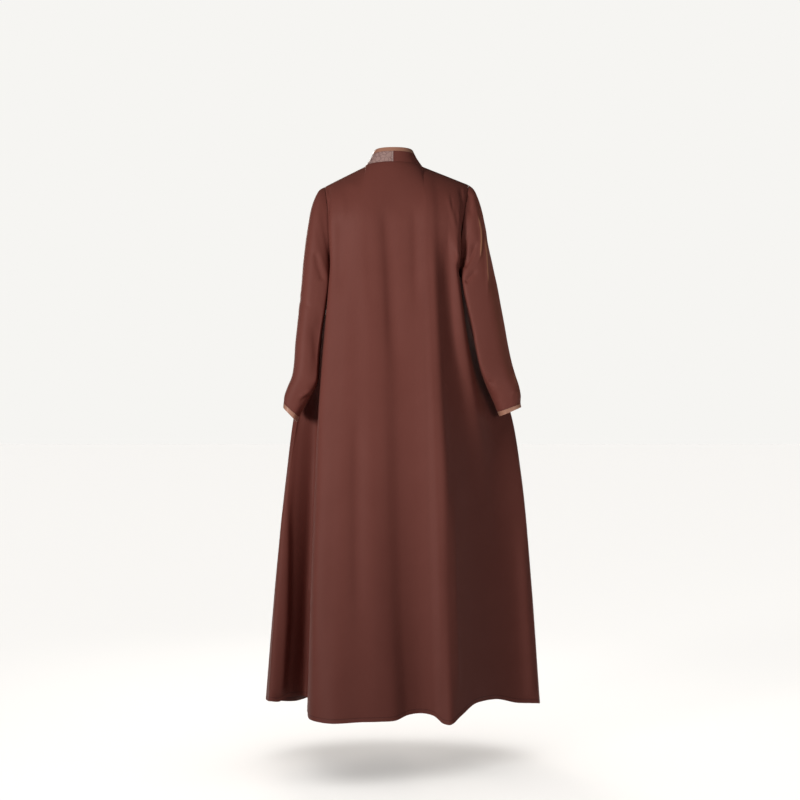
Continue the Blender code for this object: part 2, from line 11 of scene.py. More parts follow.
import bpy
import numpy as np
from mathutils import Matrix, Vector


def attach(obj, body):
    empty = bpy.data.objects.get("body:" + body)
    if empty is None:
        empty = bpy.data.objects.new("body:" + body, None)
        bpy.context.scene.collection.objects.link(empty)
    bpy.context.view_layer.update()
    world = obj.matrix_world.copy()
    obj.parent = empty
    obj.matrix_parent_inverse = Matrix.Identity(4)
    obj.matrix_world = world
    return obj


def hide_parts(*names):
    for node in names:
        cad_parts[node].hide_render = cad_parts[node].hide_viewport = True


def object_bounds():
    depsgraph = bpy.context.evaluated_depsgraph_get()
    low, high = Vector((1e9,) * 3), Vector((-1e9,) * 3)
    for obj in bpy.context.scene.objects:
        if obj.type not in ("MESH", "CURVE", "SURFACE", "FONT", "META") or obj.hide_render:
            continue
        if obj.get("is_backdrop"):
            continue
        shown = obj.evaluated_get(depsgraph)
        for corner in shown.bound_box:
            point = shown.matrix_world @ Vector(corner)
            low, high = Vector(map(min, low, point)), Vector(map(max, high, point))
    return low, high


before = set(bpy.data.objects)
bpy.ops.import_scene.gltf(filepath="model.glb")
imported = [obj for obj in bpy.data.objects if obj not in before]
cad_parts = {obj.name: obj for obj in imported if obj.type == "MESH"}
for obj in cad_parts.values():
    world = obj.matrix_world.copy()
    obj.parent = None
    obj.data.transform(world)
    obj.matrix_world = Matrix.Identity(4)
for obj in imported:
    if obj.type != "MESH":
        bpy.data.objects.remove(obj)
cad_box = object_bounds()
MM = 0.001
print("CAD nodes:", ", ".join(sorted(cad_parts)))

# %% [markdown]
# ## The folds of the worn garment
#
# A worn abaya is all long folds, so each panel is described by the lines that run down it: the bottoms of
# its troughs, the tops of its ridges, and the lines between. Every line has a name, a number of cells up to
# the next line, its x on the panel's top edge, its height at the hem, and then x and the distance behind
# the shoulders at seven levels. Sizes are millimetres, seen from behind, and 0 is the middle of the neckline.

# %% Levels and rows
LEVELS = {
    "blade": -150, "underarm": -280, "waist": -450, "hip": -600, "thigh": -780, "knee": -1050, "hem": -1360,
}
LEVEL_HEIGHTS = np.array(list(LEVELS.values()), dtype=float)
TOP_ROW = -50
UNDERARM_ROW = LEVELS["underarm"]
BACK_HEM = LEVELS["hem"]
LOWEST_BELOW_HEM = 40
SHOULDER_ROWS = 49
ROW_STEP = 6.0
FINER = 4

# Rows stand closer in the round of the shoulder than below it.
to_underarm = np.linspace(0, np.pi, SHOULDER_ROWS)
near_tip = UNDERARM_ROW + (TOP_ROW - UNDERARM_ROW) * (1 + np.cos(to_underarm)) / 2
below = np.linspace(UNDERARM_ROW, BACK_HEM, round((UNDERARM_ROW - BACK_HEM) / ROW_STEP) + 1)[1:]
ROWS = np.concatenate([near_tip, below])
ARMHOLE_END = len(near_tip) - 1
print(f"{len(ROWS)} rows down each panel")

# %% [markdown]
# The back is one flared panel from side seam to side seam. It falls from the shoulders, and its width gathers
# into a deep fold at the left, a long slope in the middle and a narrow ridge at the right.

# %% Fold lines of the back
BACK_FOLDS = (
    ("left_seam", 2, -184, -1360, -170, 62, -160, -2, -207, -60, -250, -60, -280, -18, -308, -14, -334, -11),
    ("crest", 2, -183, -1356, -170, 64, -160, 8, -205, -61, -248, -64, -275, -3, -303, 10, -322, 30),
    ("crest_edge", 2, -182, -1359, -171, 66, -161, 14, -202, -58, -243, -67, -270, -4, -284, 6, -300, 20),
    ("valley", 2, -181, -1350, -171, 68, -161, 20, -198, -52, -235, -64, -255, -10, -263, -9, -276, 2),
    ("foot", 2, -179, -1355, -172, 70, -163, 34, -187, -28, -208, -52, -214, -16, -224, -33, -236, -36),
    ("wall", 2, -177, -1360, -172, 73, -167, 50, -181, 24, -197, 24, -207, 50, -216, 60, -225, 55),
    ("corner", 2, -172, -1357, -171, 78, -169, 74, -183, 90, -193, 112, -201, 138, -210, 170, -219, 172),
    ("edge", 3, -161, -1359, -164, 88, -166, 90, -177, 111, -188, 136, -191, 168, -199, 216, -204, 262),
    ("flat_left", 3, -125, -1362, -127, 99, -129, 106, -134, 128, -142, 153, -146, 183, -152, 229, -156, 290),
    ("left_neck", 3, -81, -1360, -99, 106, -99, 114, -96, 133, -93, 158, -90, 185, -90, 228, -88, 283),
    ("flat_right", 2, -52, -1360, -69, 110, -68, 119, -66, 137, -62, 161, -56, 186, -50, 226, -42, 277),
    ("slope", 2, -32, -1360, -40, 109, -38, 118, -34, 136, -32, 160, -28, 182, -20, 216, -4, 264),
    ("recess", 3, -10, -1352, -4, 106, -3, 113, 0, 129, 2, 151, 6, 169, 12, 197, 28, 234),
    ("rise", 3, 20, -1351, 34, 106, 36, 113, 39, 130, 42, 150, 44, 165, 48, 187, 62, 217),
    ("ridge_start", 2, 46, -1358, 60, 107, 64, 115, 69, 133, 73, 154, 76, 168, 82, 188, 90, 215),
    ("ridge", 2, 64, -1375, 75, 107, 80, 116, 86, 135, 92, 157, 98, 173, 106, 194, 112, 222),
    ("ridge_end", 2, 80, -1377, 90, 105, 94, 115, 102, 132, 110, 152, 118, 171, 124, 190, 130, 226),
    ("fall", 2, 97, -1361, 106, 99, 112, 101, 121, 111, 131, 121, 141, 143, 152, 162, 156, 200),
    ("right_foot", 3, 124, -1339, 127, 94, 131, 88, 141, 92, 163, 88, 178, 91, 188, 112, 196, 150),
    ("right_floor", 2, 150, -1341, 150, 86, 151, 86, 173, 84, 199, 66, 224, 42, 236, 58, 250, 84),
    ("right_side", 2, 169, -1359, 164, 74, 157, 46, 184, 14, 226, -2, 270, -2, 292, 10, 306, 36),
    ("right_seam", 0, 182, -1364, 169, 61, 156, -2, 203, -58, 275, -60, 316, -32, 341, -14, 361, 14),
)
print(len(BACK_FOLDS), "fold lines on the back")

# %% [markdown]
# Each front is about half as wide as the back and ends at the seam of its band. The photo doesn't show the
# fronts, so their folds are plain ones, and they share the lines of the side seams with the back.

# %% Fold lines of the fronts
LEFT_FRONT_FOLDS = (
    ("seam", 2, -184, -1360, -170, -47, -160, -2, -207, -60, -250, -60, -280, -18, -308, -14, -334, -11),
    ("turn", 2, -181, -1364, -170, -55, -160, -15, -213, -72, -261, -76, -284, -42, -312, -46, -338, -50),
    ("side_fold", 3, -168, -1376, -165, -67, -158, -44, -203, -92,
     -249, -100, -267, -84, -297, -90, -325, -96),
    ("trough", 3, -140, -1388, -148, -82, -143, -80, -172, -106,
     -206, -115, -227, -112, -250, -126, -268, -150),
    ("chest", 3, -118, -1388, -122, -98, -121, -106, -140, -126,
     -163, -144, -180, -162, -198, -196, -214, -236),
    ("shallow", 3, -102, -1388, -98, -105, -97, -119, -108, -133,
     -122, -145, -131, -155, -141, -178, -148, -204),
    ("fold", 2, -90, -1388, -74, -109, -72, -127, -77, -142, -83, -160, -88, -181, -91, -223, -95, -272),
    ("band_seam", 0, -81, -1388, -50, -107, -48, -126, -47, -142, -47, -159, -48, -178, -49, -214, -50, -256),
)
RIGHT_FRONT_FOLDS = (
    ("seam", 2, 182, -1364, 169, -46, 156, -2, 203, -58, 275, -60, 316, -32, 341, -14, 361, 14),
    ("turn", 2, 179, -1372, 169, -54, 158, -18, 212, -74, 287, -72, 320, -60, 345, -50, 366, -34),
    ("side_fold", 3, 166, -1374, 164, -66, 166, -50, 216, -96, 274, -100, 305, -98, 328, -100, 352, -98),
    ("trough", 3, 138, -1374, 146, -80, 139, -79, 184, -109, 228, -117, 256, -122, 270, -136, 286, -156),
    ("chest", 3, 112, -1374, 118, -97, 117, -105, 146, -127, 176, -146, 196, -166, 212, -198, 228, -232),
    ("shallow", 3, 92, -1374, 90, -104, 89, -118, 108, -133, 127, -146, 139, -156, 148, -176, 158, -200),
    ("fold", 2, 76, -1374, 60, -108, 60, -127, 70, -142, 80, -161, 88, -183, 95, -224, 104, -268),
    ("band_seam", 0, 64, -1374, 34, -107, 32, -126, 33, -142, 36, -159, 42, -178, 52, -214, 64, -256),
)
print(len(LEFT_FRONT_FOLDS), "and", len(RIGHT_FRONT_FOLDS), "fold lines on the fronts")

# %% [markdown]
# ## Smooth curves through few points
#
# A table gives a point every few centimetres. A Catmull-Rom curve passes through all of them and stays smooth,
# and its centripetal form doesn't overshoot where two lines stand close, as at a sharp fold.
# The same function runs over one line of points or over many side by side.


# %% Curves
def unit(vectors):
    length = np.linalg.norm(vectors, axis=-1, keepdims=True)
    return vectors / np.maximum(length, 1e-9)


def smoothstep(value):
    value = np.clip(value, 0.0, 1.0)
    return value * value * (3.0 - 2.0 * value)


def smooth_through(points, cells):
    points = np.asarray(points, dtype=float)
    padded = np.concatenate([2 * points[:1] - points[1:2], points, 2 * points[-1:] - points[-2:-1]])
    found = []
    for index, count in enumerate(cells):
        a, b, c, d = padded[index : index + 4]
        tb = np.linalg.norm(b - a, axis=-1, keepdims=True) ** 0.5
        tc = tb + np.linalg.norm(c - b, axis=-1, keepdims=True) ** 0.5
        td = tc + np.linalg.norm(d - c, axis=-1, keepdims=True) ** 0.5
        for step in range(count):
            t = tb + (tc - tb) * step / count
            ab = ((tb - t) * a + t * b) / tb
            bc = ((tc - t) * b + (t - tb) * c) / (tc - tb)
            cd = ((td - t) * c + (t - tc) * d) / (td - tc)
            abc = ((tc - t) * ab + t * bc) / tc
            bcd = ((td - t) * bc + (t - tb) * cd) / (td - tb)
            found.append(((tc - t) * abc + (t - tb) * bcd) / (tc - tb))
    found.append(points[-1])
    return np.array(found)


def cells_of(folds):
    return [row[1] * FINER for row in folds[:-1]]


def line_starts(folds):
    return np.cumsum([0] + cells_of(folds))


def level_sections(folds):
    cells = cells_of(folds)
    places = np.array([np.reshape(row[4:], (len(LEVELS), 2)) for row in folds])
    return np.array([smooth_through(places[:, level], cells) for level in range(len(LEVELS))])


print("points across the back:", line_starts(BACK_FOLDS)[-1] + 1)

# %% [markdown]
# ## Shoulders, neck and armholes
#
# A shoulder seam slants in a straight line from the neck to the tip of the shoulder, and the back of the
# neckline is half an oval. An armhole is cut as an oval too, deeper behind than in front.

# %% Shoulder, neck and armhole sizes
LEFT_TIP = (-184, -50)
RIGHT_TIP = (182, -45)
NECK_POINT_HEIGHT = 1.4
NECK_CENTRE = -8.25
NECK_HALF_WIDTH = 72.75
NECK_BEHIND = 70
NECK_RISE = 4.6
CENTRE_BACK_ANGLE = np.radians(91.4)
SHOULDER_ROUNDNESS = 2.0
CENTRE_BACK_ROUNDNESS = 1.4
LEFT_UNDERARM_X = -160
RIGHT_UNDERARM_X = 156
UNDERARM_BEHIND = -2
ARMHOLE_BEHIND = 64
ARMHOLE_BEFORE = 48
ARMHOLE_BOW = 1.5
RIGHT_BACK_FADES_OVER = 0.3
LEFT_BACK_REACH = 12 * FINER
RIGHT_BACK_REACH = 7 * FINER
FRONT_REACH = 7 * FINER
print(f"the shoulders are {RIGHT_TIP[0] - LEFT_TIP[0]} mm wide, the neck {2 * NECK_HALF_WIDTH} mm")

# %% [markdown]
# A panel hangs from its top edge, so that edge is laid first: on the back a shoulder seam, the neckline and
# the other shoulder seam, and on each front one shoulder seam.


# %% Top edges
def back_top_edge():
    names = [row[0] for row in BACK_FOLDS]
    starts = line_starts(BACK_FOLDS)
    left_neck = int(starts[names.index("left_neck")])
    centre = int(starts[names.index("recess")])
    right_neck = int(starts[names.index("ridge")])
    column = np.arange(starts[-1] + 1)
    x = np.interp(column, starts, [row[2] for row in BACK_FOLDS])
    left_end, right_end = NECK_CENTRE - NECK_HALF_WIDTH, NECK_CENTRE + NECK_HALF_WIDTH
    x[left_neck], x[right_neck] = left_end, right_end
    heights = (LEFT_TIP[1], NECK_POINT_HEIGHT, NECK_POINT_HEIGHT, RIGHT_TIP[1])
    z = np.interp(x, (LEFT_TIP[0], left_end, right_end, RIGHT_TIP[0]), heights)
    round_neck = (column > left_neck) & (column < right_neck)
    angle = np.interp(column, (left_neck, centre, right_neck), (np.pi, CENTRE_BACK_ANGLE, 0.0))
    depth = np.where(round_neck, np.sin(angle), 0.0)
    x = np.where(round_neck, NECK_CENTRE + NECK_HALF_WIDTH * np.cos(angle), x)
    z = np.where(round_neck, NECK_POINT_HEIGHT + NECK_RISE * depth, z)
    roundness = SHOULDER_ROUNDNESS - (SHOULDER_ROUNDNESS - CENTRE_BACK_ROUNDNESS) * depth
    return np.column_stack([x, NECK_BEHIND * depth, z, roundness]), (left_neck, centre, right_neck)


def hem_line(folds):
    points = [(start, row[3]) for start, row in zip(line_starts(folds), folds)]
    return smooth_through(points, cells_of(folds))[:, 1]


def front_top_edge(folds, tip, neck_x):
    starts = line_starts(folds)
    x = np.interp(np.arange(starts[-1] + 1), starts, [row[2] for row in folds])
    x[-1] = neck_x
    z = tip[1] + (x - tip[0]) / (neck_x - tip[0]) * (NECK_POINT_HEIGHT - tip[1])
    return np.column_stack([x, np.zeros_like(x), z, np.full_like(x, SHOULDER_ROUNDNESS)])


print("columns at the two ends and the centre of the neckline:", back_top_edge()[1])

# %% [markdown]
# ## A panel from its sections
#
# Between two levels each column of points follows a Hermite curve, so that a fold starts softly at the
# shoulders and grows to the hem. It runs on straight where a hem hangs below the last level.


# %% Down the levels
def down_the_levels(levels, z):
    slopes = np.zeros_like(levels)
    for index in range(1, len(LEVELS)):
        above = index if index == 1 else index - 1
        under = min(index + 1, len(LEVELS) - 1)
        slopes[index] = (levels[under] - levels[above]) / (LEVEL_HEIGHTS[under] - LEVEL_HEIGHTS[above])
    z = np.maximum(z, LEVEL_HEIGHTS[-1] - LOWEST_BELOW_HEM)
    index = np.clip(np.searchsorted(-LEVEL_HEIGHTS, -z), 1, len(LEVELS) - 1)
    column = np.broadcast_to(np.arange(z.shape[1]), z.shape)
    high, low = LEVEL_HEIGHTS[index - 1], LEVEL_HEIGHTS[index]
    t = ((z - high) / (low - high))[..., None]
    span = (low - high)[..., None]
    between = (
        (1 + 2 * t) * (1 - t) ** 2 * levels[index - 1, column]
        + t * (1 - t) ** 2 * span * slopes[index - 1, column]
        + t * t * (3 - 2 * t) * levels[index, column]
        + t * t * (t - 1) * span * slopes[index, column]
    )
    straight = levels[index, column] + slopes[index, column] * (z - low)[..., None]
    return np.where(t > 1, straight, between)


print(f"levels from {LEVEL_HEIGHTS[0]:.0f} to {LEVEL_HEIGHTS[-1]:.0f} mm")

# %% [markdown]
# Above the first level the cloth rounds over to the shoulder seam like a quarter of an oval. Beside an
# armhole the panel's edge is pulled onto the armhole's own oval, and the pull fades over the next columns.


# %% Armhole and panel
def armhole(tip, underarm, angle, side):
    share = (1 + np.cos(angle)) / 2
    x = underarm[0] + (tip[0] - underarm[0]) * share**ARMHOLE_BOW
    depth = np.where(np.asarray(side) > 0, ARMHOLE_BEHIND, -ARMHOLE_BEFORE)
    behind = UNDERARM_BEHIND * (1 - share) + depth * np.sin(angle)
    return np.stack([x, -behind, underarm[1] + (tip[1] - underarm[1]) * share], axis=-1)


def panel(folds, top, hem, armholes):
    levels = level_sections(folds)
    share = ((ROWS - TOP_ROW) / (BACK_HEM - TOP_ROW))[:, None]
    z = top[:, 2] + share * (hem - top[:, 2])
    lower = down_the_levels(levels, z)
    above = np.clip((top[:, 2] - z) / (top[:, 2] - LEVELS["blade"]), 0, 1)
    x = top[:, 0] + (levels[0, :, 0] - top[:, 0]) * smoothstep(above)
    swell = (1 - (1 - above) ** top[:, 3]) ** (1 / top[:, 3])
    behind = top[:, 1] + (levels[0, :, 1] - top[:, 1]) * swell
    on_shoulder = z > LEVELS["blade"]
    x = np.where(on_shoulder, x, lower[..., 0])
    behind = np.where(on_shoulder, behind, lower[..., 1])
    grid = np.stack([x, -behind, z], axis=-1)
    for edge, reach, tip, underarm_x, side, fades_over in armholes:
        rows = slice(0, ARMHOLE_END + 1)
        underarm = (underarm_x, grid[ARMHOLE_END, edge, 2])
        down = (grid[rows, edge, 2] - underarm[1]) / (tip[1] - underarm[1])
        move = armhole(tip, underarm, np.arccos(np.clip(2 * down - 1, -1, 1)), side) - grid[rows, edge]
        inward = 1 if edge == 0 else -1
        for step in range(reach):
            fade = smoothstep(down * reach / max(step * fades_over, 1e-6))
            grid[rows, edge + inward * step] += move * (1 - step / reach) * fade[:, None]
    return grid


half_way = armhole(LEFT_TIP, (LEFT_UNDERARM_X, UNDERARM_ROW), np.pi / 2, 1)
print("half-way down behind, the left armhole is at", half_way.round(1), "mm")

# %% [markdown]
# The back and the fronts meet along the shoulder seams and the side seams. A seam that is pressed open lets
# the cloth run smoothly over it, so the panels share the directions in which their faces look there.


# %% Shape the body
def outward(grid, side, closed=False):
    if closed:
        across = np.roll(grid, -1, axis=1) - np.roll(grid, 1, axis=1)
    else:
        across = np.gradient(grid, axis=1)
    return side * unit(np.cross(across, np.gradient(grid, axis=0)))


def share_normals(first, second):
    both = unit(first + second)
    first[:] = both
    second[:] = both


back_top, (left_neck, centre, right_neck) = back_top_edge()
back = panel(
    BACK_FOLDS,
    back_top,
    hem_line(BACK_FOLDS),
    (
        (0, LEFT_BACK_REACH, LEFT_TIP, LEFT_UNDERARM_X, 1, 0.0),
        (len(back_top) - 1, RIGHT_BACK_REACH, RIGHT_TIP, RIGHT_UNDERARM_X, 1, RIGHT_BACK_FADES_OVER),
    ),
)
fronts = {}
for side_name, folds, tip, underarm_x, side in (
    ("left", LEFT_FRONT_FOLDS, LEFT_TIP, LEFT_UNDERARM_X, -1),
    ("right", RIGHT_FRONT_FOLDS, RIGHT_TIP, RIGHT_UNDERARM_X, 1),
):
    top = front_top_edge(folds, tip, NECK_CENTRE + side * NECK_HALF_WIDTH)
    fronts[side_name] = panel(folds, top, hem_line(folds), ((0, FRONT_REACH, tip, underarm_x, -1, 0.0),))

normals = {"back": outward(back, -1)}
for side_name, side in (("left", 1), ("right", -1)):
    normals[side_name] = outward(fronts[side_name], side)
share_normals(normals["back"][ARMHOLE_END:, 0], normals["left"][ARMHOLE_END:, 0])
share_normals(normals["back"][ARMHOLE_END:, -1], normals["right"][ARMHOLE_END:, 0])
for name, columns, tip, side in (
    ("back", slice(0, left_neck + 1), LEFT_TIP, -1),
    ("left", slice(None), LEFT_TIP, -1),
    ("back", slice(right_neck, None), RIGHT_TIP, 1),
    ("right", slice(None), RIGHT_TIP, 1),
):
    rise = NECK_POINT_HEIGHT - tip[1]
    run = tip[0] - (NECK_CENTRE + side * NECK_HALF_WIDTH)
    normals[name][0, columns] = unit(np.array([side * rise, 0.0, abs(run)]))
print(f"the back is {back.shape[0]} x {back.shape[1]} points")

# %% [markdown]
# ## Sleeves
#
# A set-in sleeve is a tube that starts on the armhole's oval and narrows to the cuff. Its table gives each
# ring the x and z of its outer and of its inner point, how far its middle lies behind the shoulders, and half
# its depth. Between these rings the tube runs on smoothly.

# %% Sleeve stations
LEFT_SLEEVE = (
    (-198, -60, -162.5, -283, 9, 57),
    (-210, -82, -165.5, -286, 10, 60),
    (-220, -114, -168.5, -291, 11, 62),
    (-226, -150, -171, -298, 12, 64),
    (-232, -194, -172.5, -309, 13, 65),
    (-237, -240, -175, -327, 15, 65),
    (-242, -295, -179.5, -355, 18, 64),
    (-248, -350, -184, -390, 21, 63),
    (-253, -402, -188.5, -428, 25, 61),
    (-258, -452, -192, -468, 28, 60),
    (-261, -500, -195, -508, 30, 57),
    (-266, -532, -198, -541, 30, 54),
    (-277, -560, -208, -567, 29, 50),
    (-284.5, -582, -226, -598, 27, 47),
    (-286.5, -600, -248, -635, 24, 44),
    (-287.5, -611, -252, -648, 23, 43.5),
)
RIGHT_SLEEVE = (
    (195, -57, 159.5, -279, 9, 57),
    (207, -82, 161.5, -282, 10, 60),
    (217, -114, 163, -287, 11, 62),
    (224, -146, 164.5, -294, 12, 64),
    (233, -186, 167, -306, 13, 65),
    (243, -232, 170, -325, 15, 65),
    (253, -288, 176, -352, 18, 64),
    (263, -345, 184, -385, 21, 63),
    (273, -400, 192, -422, 25, 61),
    (282, -452, 199, -462, 28, 58),
    (291, -495, 207, -500, 30, 56),
    (300, -528, 216, -532, 31, 53),
    (309, -558, 227, -560, 31, 50),
    (313, -582, 240, -588, 29, 47),
    (312.5, -602, 255, -623, 26, 44),
    (314, -610.5, 260, -634, 25, 43.5),
)
print(len(LEFT_SLEEVE), "rings given for each sleeve")

# %% [markdown]
# Cloth hangs round at the cap and flatter below it, with a fuller corner behind, on the side of the body. The
# back of each tube leans towards the body there, and the right tube is turned a little. Rings stand closest
# at the cap and at the cuff, where the cloth is sewn.

# %% Rings of a sleeve
ROWS_AT_CAP = [4, 5, 6, 7]
ROWS_AT_CUFF = [5, 3]
ALONG_SLEEVE = 12
ROUND_SLEEVE = 160
ROUND_AT_ARMHOLE = 2.0
FLAT_BELOW = 3.0
FLAT_FROM_STATION = 5
CORNER_BESIDE_BODY = 6.0
LEFT_LEAN = 4
RIGHT_LEAN = 5
LEFT_TILT = 0.0
RIGHT_TILT = 0.28
LEAN_FROM = 5
LEAN_TO = 14
LEAN_FADES_OVER = 3
SEAM_GAP = 0.3


def sleeve_rings(stations, tip, underarm, side, lean, tilt):
    angles = np.linspace(0, 2 * np.pi, ROUND_SLEEVE, endpoint=False)
    facing = np.where(angles > np.pi, -1, 1)
    first = armhole(tip, underarm, np.where(angles > np.pi, 2 * np.pi - angles, angles), facing)
    first[:, 0] += side * SEAM_GAP
    first[:, 2] -= SEAM_GAP * 0.5 * (1 - np.cos(angles))
    rings = [first]
    back_and_inside = (angles > np.pi / 2) & (angles < np.pi)
    corner = (CORNER_BESIDE_BODY - FLAT_BELOW) * np.where(back_and_inside, np.sin(2 * angles) ** 2, 0.0)
    for outer_x, outer_z, inner_x, inner_z, behind, half_depth in stations:
        outer = np.array([outer_x, -behind, outer_z], dtype=float)
        inner = np.array([inner_x, -behind, inner_z], dtype=float)
        middle = (outer + inner) / 2
        swell = np.array([0.0, -half_depth, 0.0])
        count = len(rings)
        flatter = smoothstep(count / FLAT_FROM_STATION)
        below_cap = smoothstep(count / LEAN_FROM) * smoothstep((LEAN_TO - count) / LEAN_FADES_OVER)
        power = ROUND_AT_ARMHOLE + (FLAT_BELOW - ROUND_AT_ARMHOLE + corner * below_cap) * flatter
        waves = (np.cos(angles), np.sin(angles))
        across, deep = (np.sign(wave) * np.abs(wave) ** (2 / power) for wave in waves)
        shift = np.array([-side * lean * below_cap, 0.0, 0.0])
        turn = np.array([0.0, tilt * below_cap * abs(outer_x - inner_x) / 2, 0.0])
        ring = middle + across[:, None] * (outer - middle + turn) + deep[:, None] * swell
        rings.append(ring + np.maximum(deep, 0)[:, None] * shift)
    middle_rows = [ALONG_SLEEVE] * (len(stations) - len(ROWS_AT_CAP) - len(ROWS_AT_CUFF))
    return smooth_through(np.array(rings), ROWS_AT_CAP + middle_rows + ROWS_AT_CUFF)


print(ALONG_SLEEVE, "rows between two rings, fewer at the cap and the cuff:", ROWS_AT_CAP, ROWS_AT_CUFF)

# %% [markdown]
# Each sleeve starts at its own armhole, on the back's first or last column. On the first ring the faces don't
# look in or out along the shoulder, so that the sheet's thickness stays in the plane of the armhole.

# %% Shape the sleeves
sleeves = {}
for name, stations, tip, underarm_x, column, side, lean, tilt in (
    ("left_sleeve", LEFT_SLEEVE, LEFT_TIP, LEFT_UNDERARM_X, 0, -1, LEFT_LEAN, LEFT_TILT),
    ("right_sleeve", RIGHT_SLEEVE, RIGHT_TIP, RIGHT_UNDERARM_X, -1, 1, RIGHT_LEAN, RIGHT_TILT),
):
    rings = sleeve_rings(stations, tip, (underarm_x, back[ARMHOLE_END, column, 2]), side, lean, tilt)
    around = outward(rings, side, closed=True)
    around[0, :, 0] = 0.0
    around[0] = unit(around[0])
    sleeves[name] = rings
    normals[name] = around
    print(f"{name}: {rings.shape[0]} rings of {rings.shape[1]} points")

# %% [markdown]
# ## Small creases
#
# Crepe hangs in long soft waves, and only a few creases are sharper: where an armhole pulls, where a sleeve
# bends, and above a cuff. Each one is given as a way of points seen from behind or from the front, with a
# depth (below zero for a trough), the half width of each of its two flanks, and how it fades at its ends.

# %% How a crease moves the cloth
FACING_SLOPE, FACING_EDGE = 2, 0.6


def nearest_on_way(points, way):
    way = np.reshape(way, (-1, 2)).astype(float)
    lengths = np.linalg.norm(np.diff(way, axis=0), axis=1)
    along_before = np.concatenate([[0.0], np.cumsum(lengths)])
    best = np.full(points.shape[:-1], 1e9)
    signed = np.zeros_like(best)
    along = np.zeros_like(best)
    for start, end, length, before in zip(way[:-1], way[1:], lengths, along_before[:-1]):
        direction = (end - start) / length
        offset = points - start
        t = np.clip(offset @ direction, 0, length)
        gap = np.linalg.norm(offset - t[..., None] * direction, axis=-1)
        nearer = gap < best
        side = np.sign(offset[..., 0] * direction[1] - offset[..., 1] * direction[0])
        best = np.where(nearer, gap, best)
        signed = np.where(nearer, side * gap, signed)
        along = np.where(nearer, before + t, along)
    return signed, along / along_before[-1]


def towards(directions, view):
    return smoothstep(directions[..., 1] * view * FACING_SLOPE + FACING_EDGE)


def crease_lift(grid, facing, creases):
    seen = grid[..., [0, 2]]
    lift = np.zeros(grid.shape[:2])
    for way, depth, first_flank, second_flank, fade_in, fade_out in creases:
        signed, along = nearest_on_way(seen, way)
        width = np.where(signed < 0, first_flank, second_flank)
        ends = smoothstep(along / fade_in) * smoothstep((1 - along) / fade_out)
        lift += depth * np.exp(-((signed / width) ** 2)) * ends * facing
    return lift


beside = nearest_on_way(np.array([[-3.0, -5.0], [3.0, -5.0]]), (0, 0, 0, -10))[0]
print("signed distances of two points beside a way, in mm:", beside)

# %% [markdown]
# A sewn edge always puckers: the thread is a little shorter than the cloth. So a second, much smaller wave
# runs along each seam, the sum of a short and a long ripple, and the seam itself lies in a narrow dent.

# %% How a seam puckers
SHORT_RIPPLE, LONG_RIPPLE, LONG_SHARE = 7.0, 15.0, 0.6


def from_edges(grid):
    across = np.linalg.norm(np.diff(grid, axis=1), axis=2)
    down = np.linalg.norm(np.diff(grid, axis=0), axis=2)
    left = np.concatenate([np.zeros((grid.shape[0], 1)), np.cumsum(across, axis=1)], axis=1)
    top = np.concatenate([np.zeros((1, grid.shape[1])), np.cumsum(down, axis=0)], axis=0)
    return {"first": left, "last": left[:, -1:] - left, "top": top, "bottom": top[-1:] - top}


def soft_noise(along, wave, seed, draws=400):
    points = np.random.default_rng(seed).uniform(-1, 1, draws)
    place = np.mod(along / wave, draws - 2)
    index = place.astype(int)
    t = smoothstep(place - index)
    return points[index] * (1 - t) + points[index + 1] * t


def seam_lift(distance, along, pucker, seed, dent=0.5, dent_width=2.2, pucker_width=9.0):
    ripples = soft_noise(along, SHORT_RIPPLE, seed) + LONG_SHARE * soft_noise(along, LONG_RIPPLE, seed + 1)
    reach = np.exp(-((distance / pucker_width) ** 2))
    return pucker * ripples * reach - dent * np.exp(-((distance / dent_width) ** 2))


print("ripples of", SHORT_RIPPLE, "and", LONG_RIPPLE, "mm along the seams")

# %% [markdown]
# The tables below hold one crease a row: its way from top to bottom as pairs of x and z, its depth, the half
# widths of its right and its left flank (as seen from behind), and the shares of its way over which it
# fades in and out. The ways, depths and widths differ on purpose, as no two creases of worn cloth are alike.

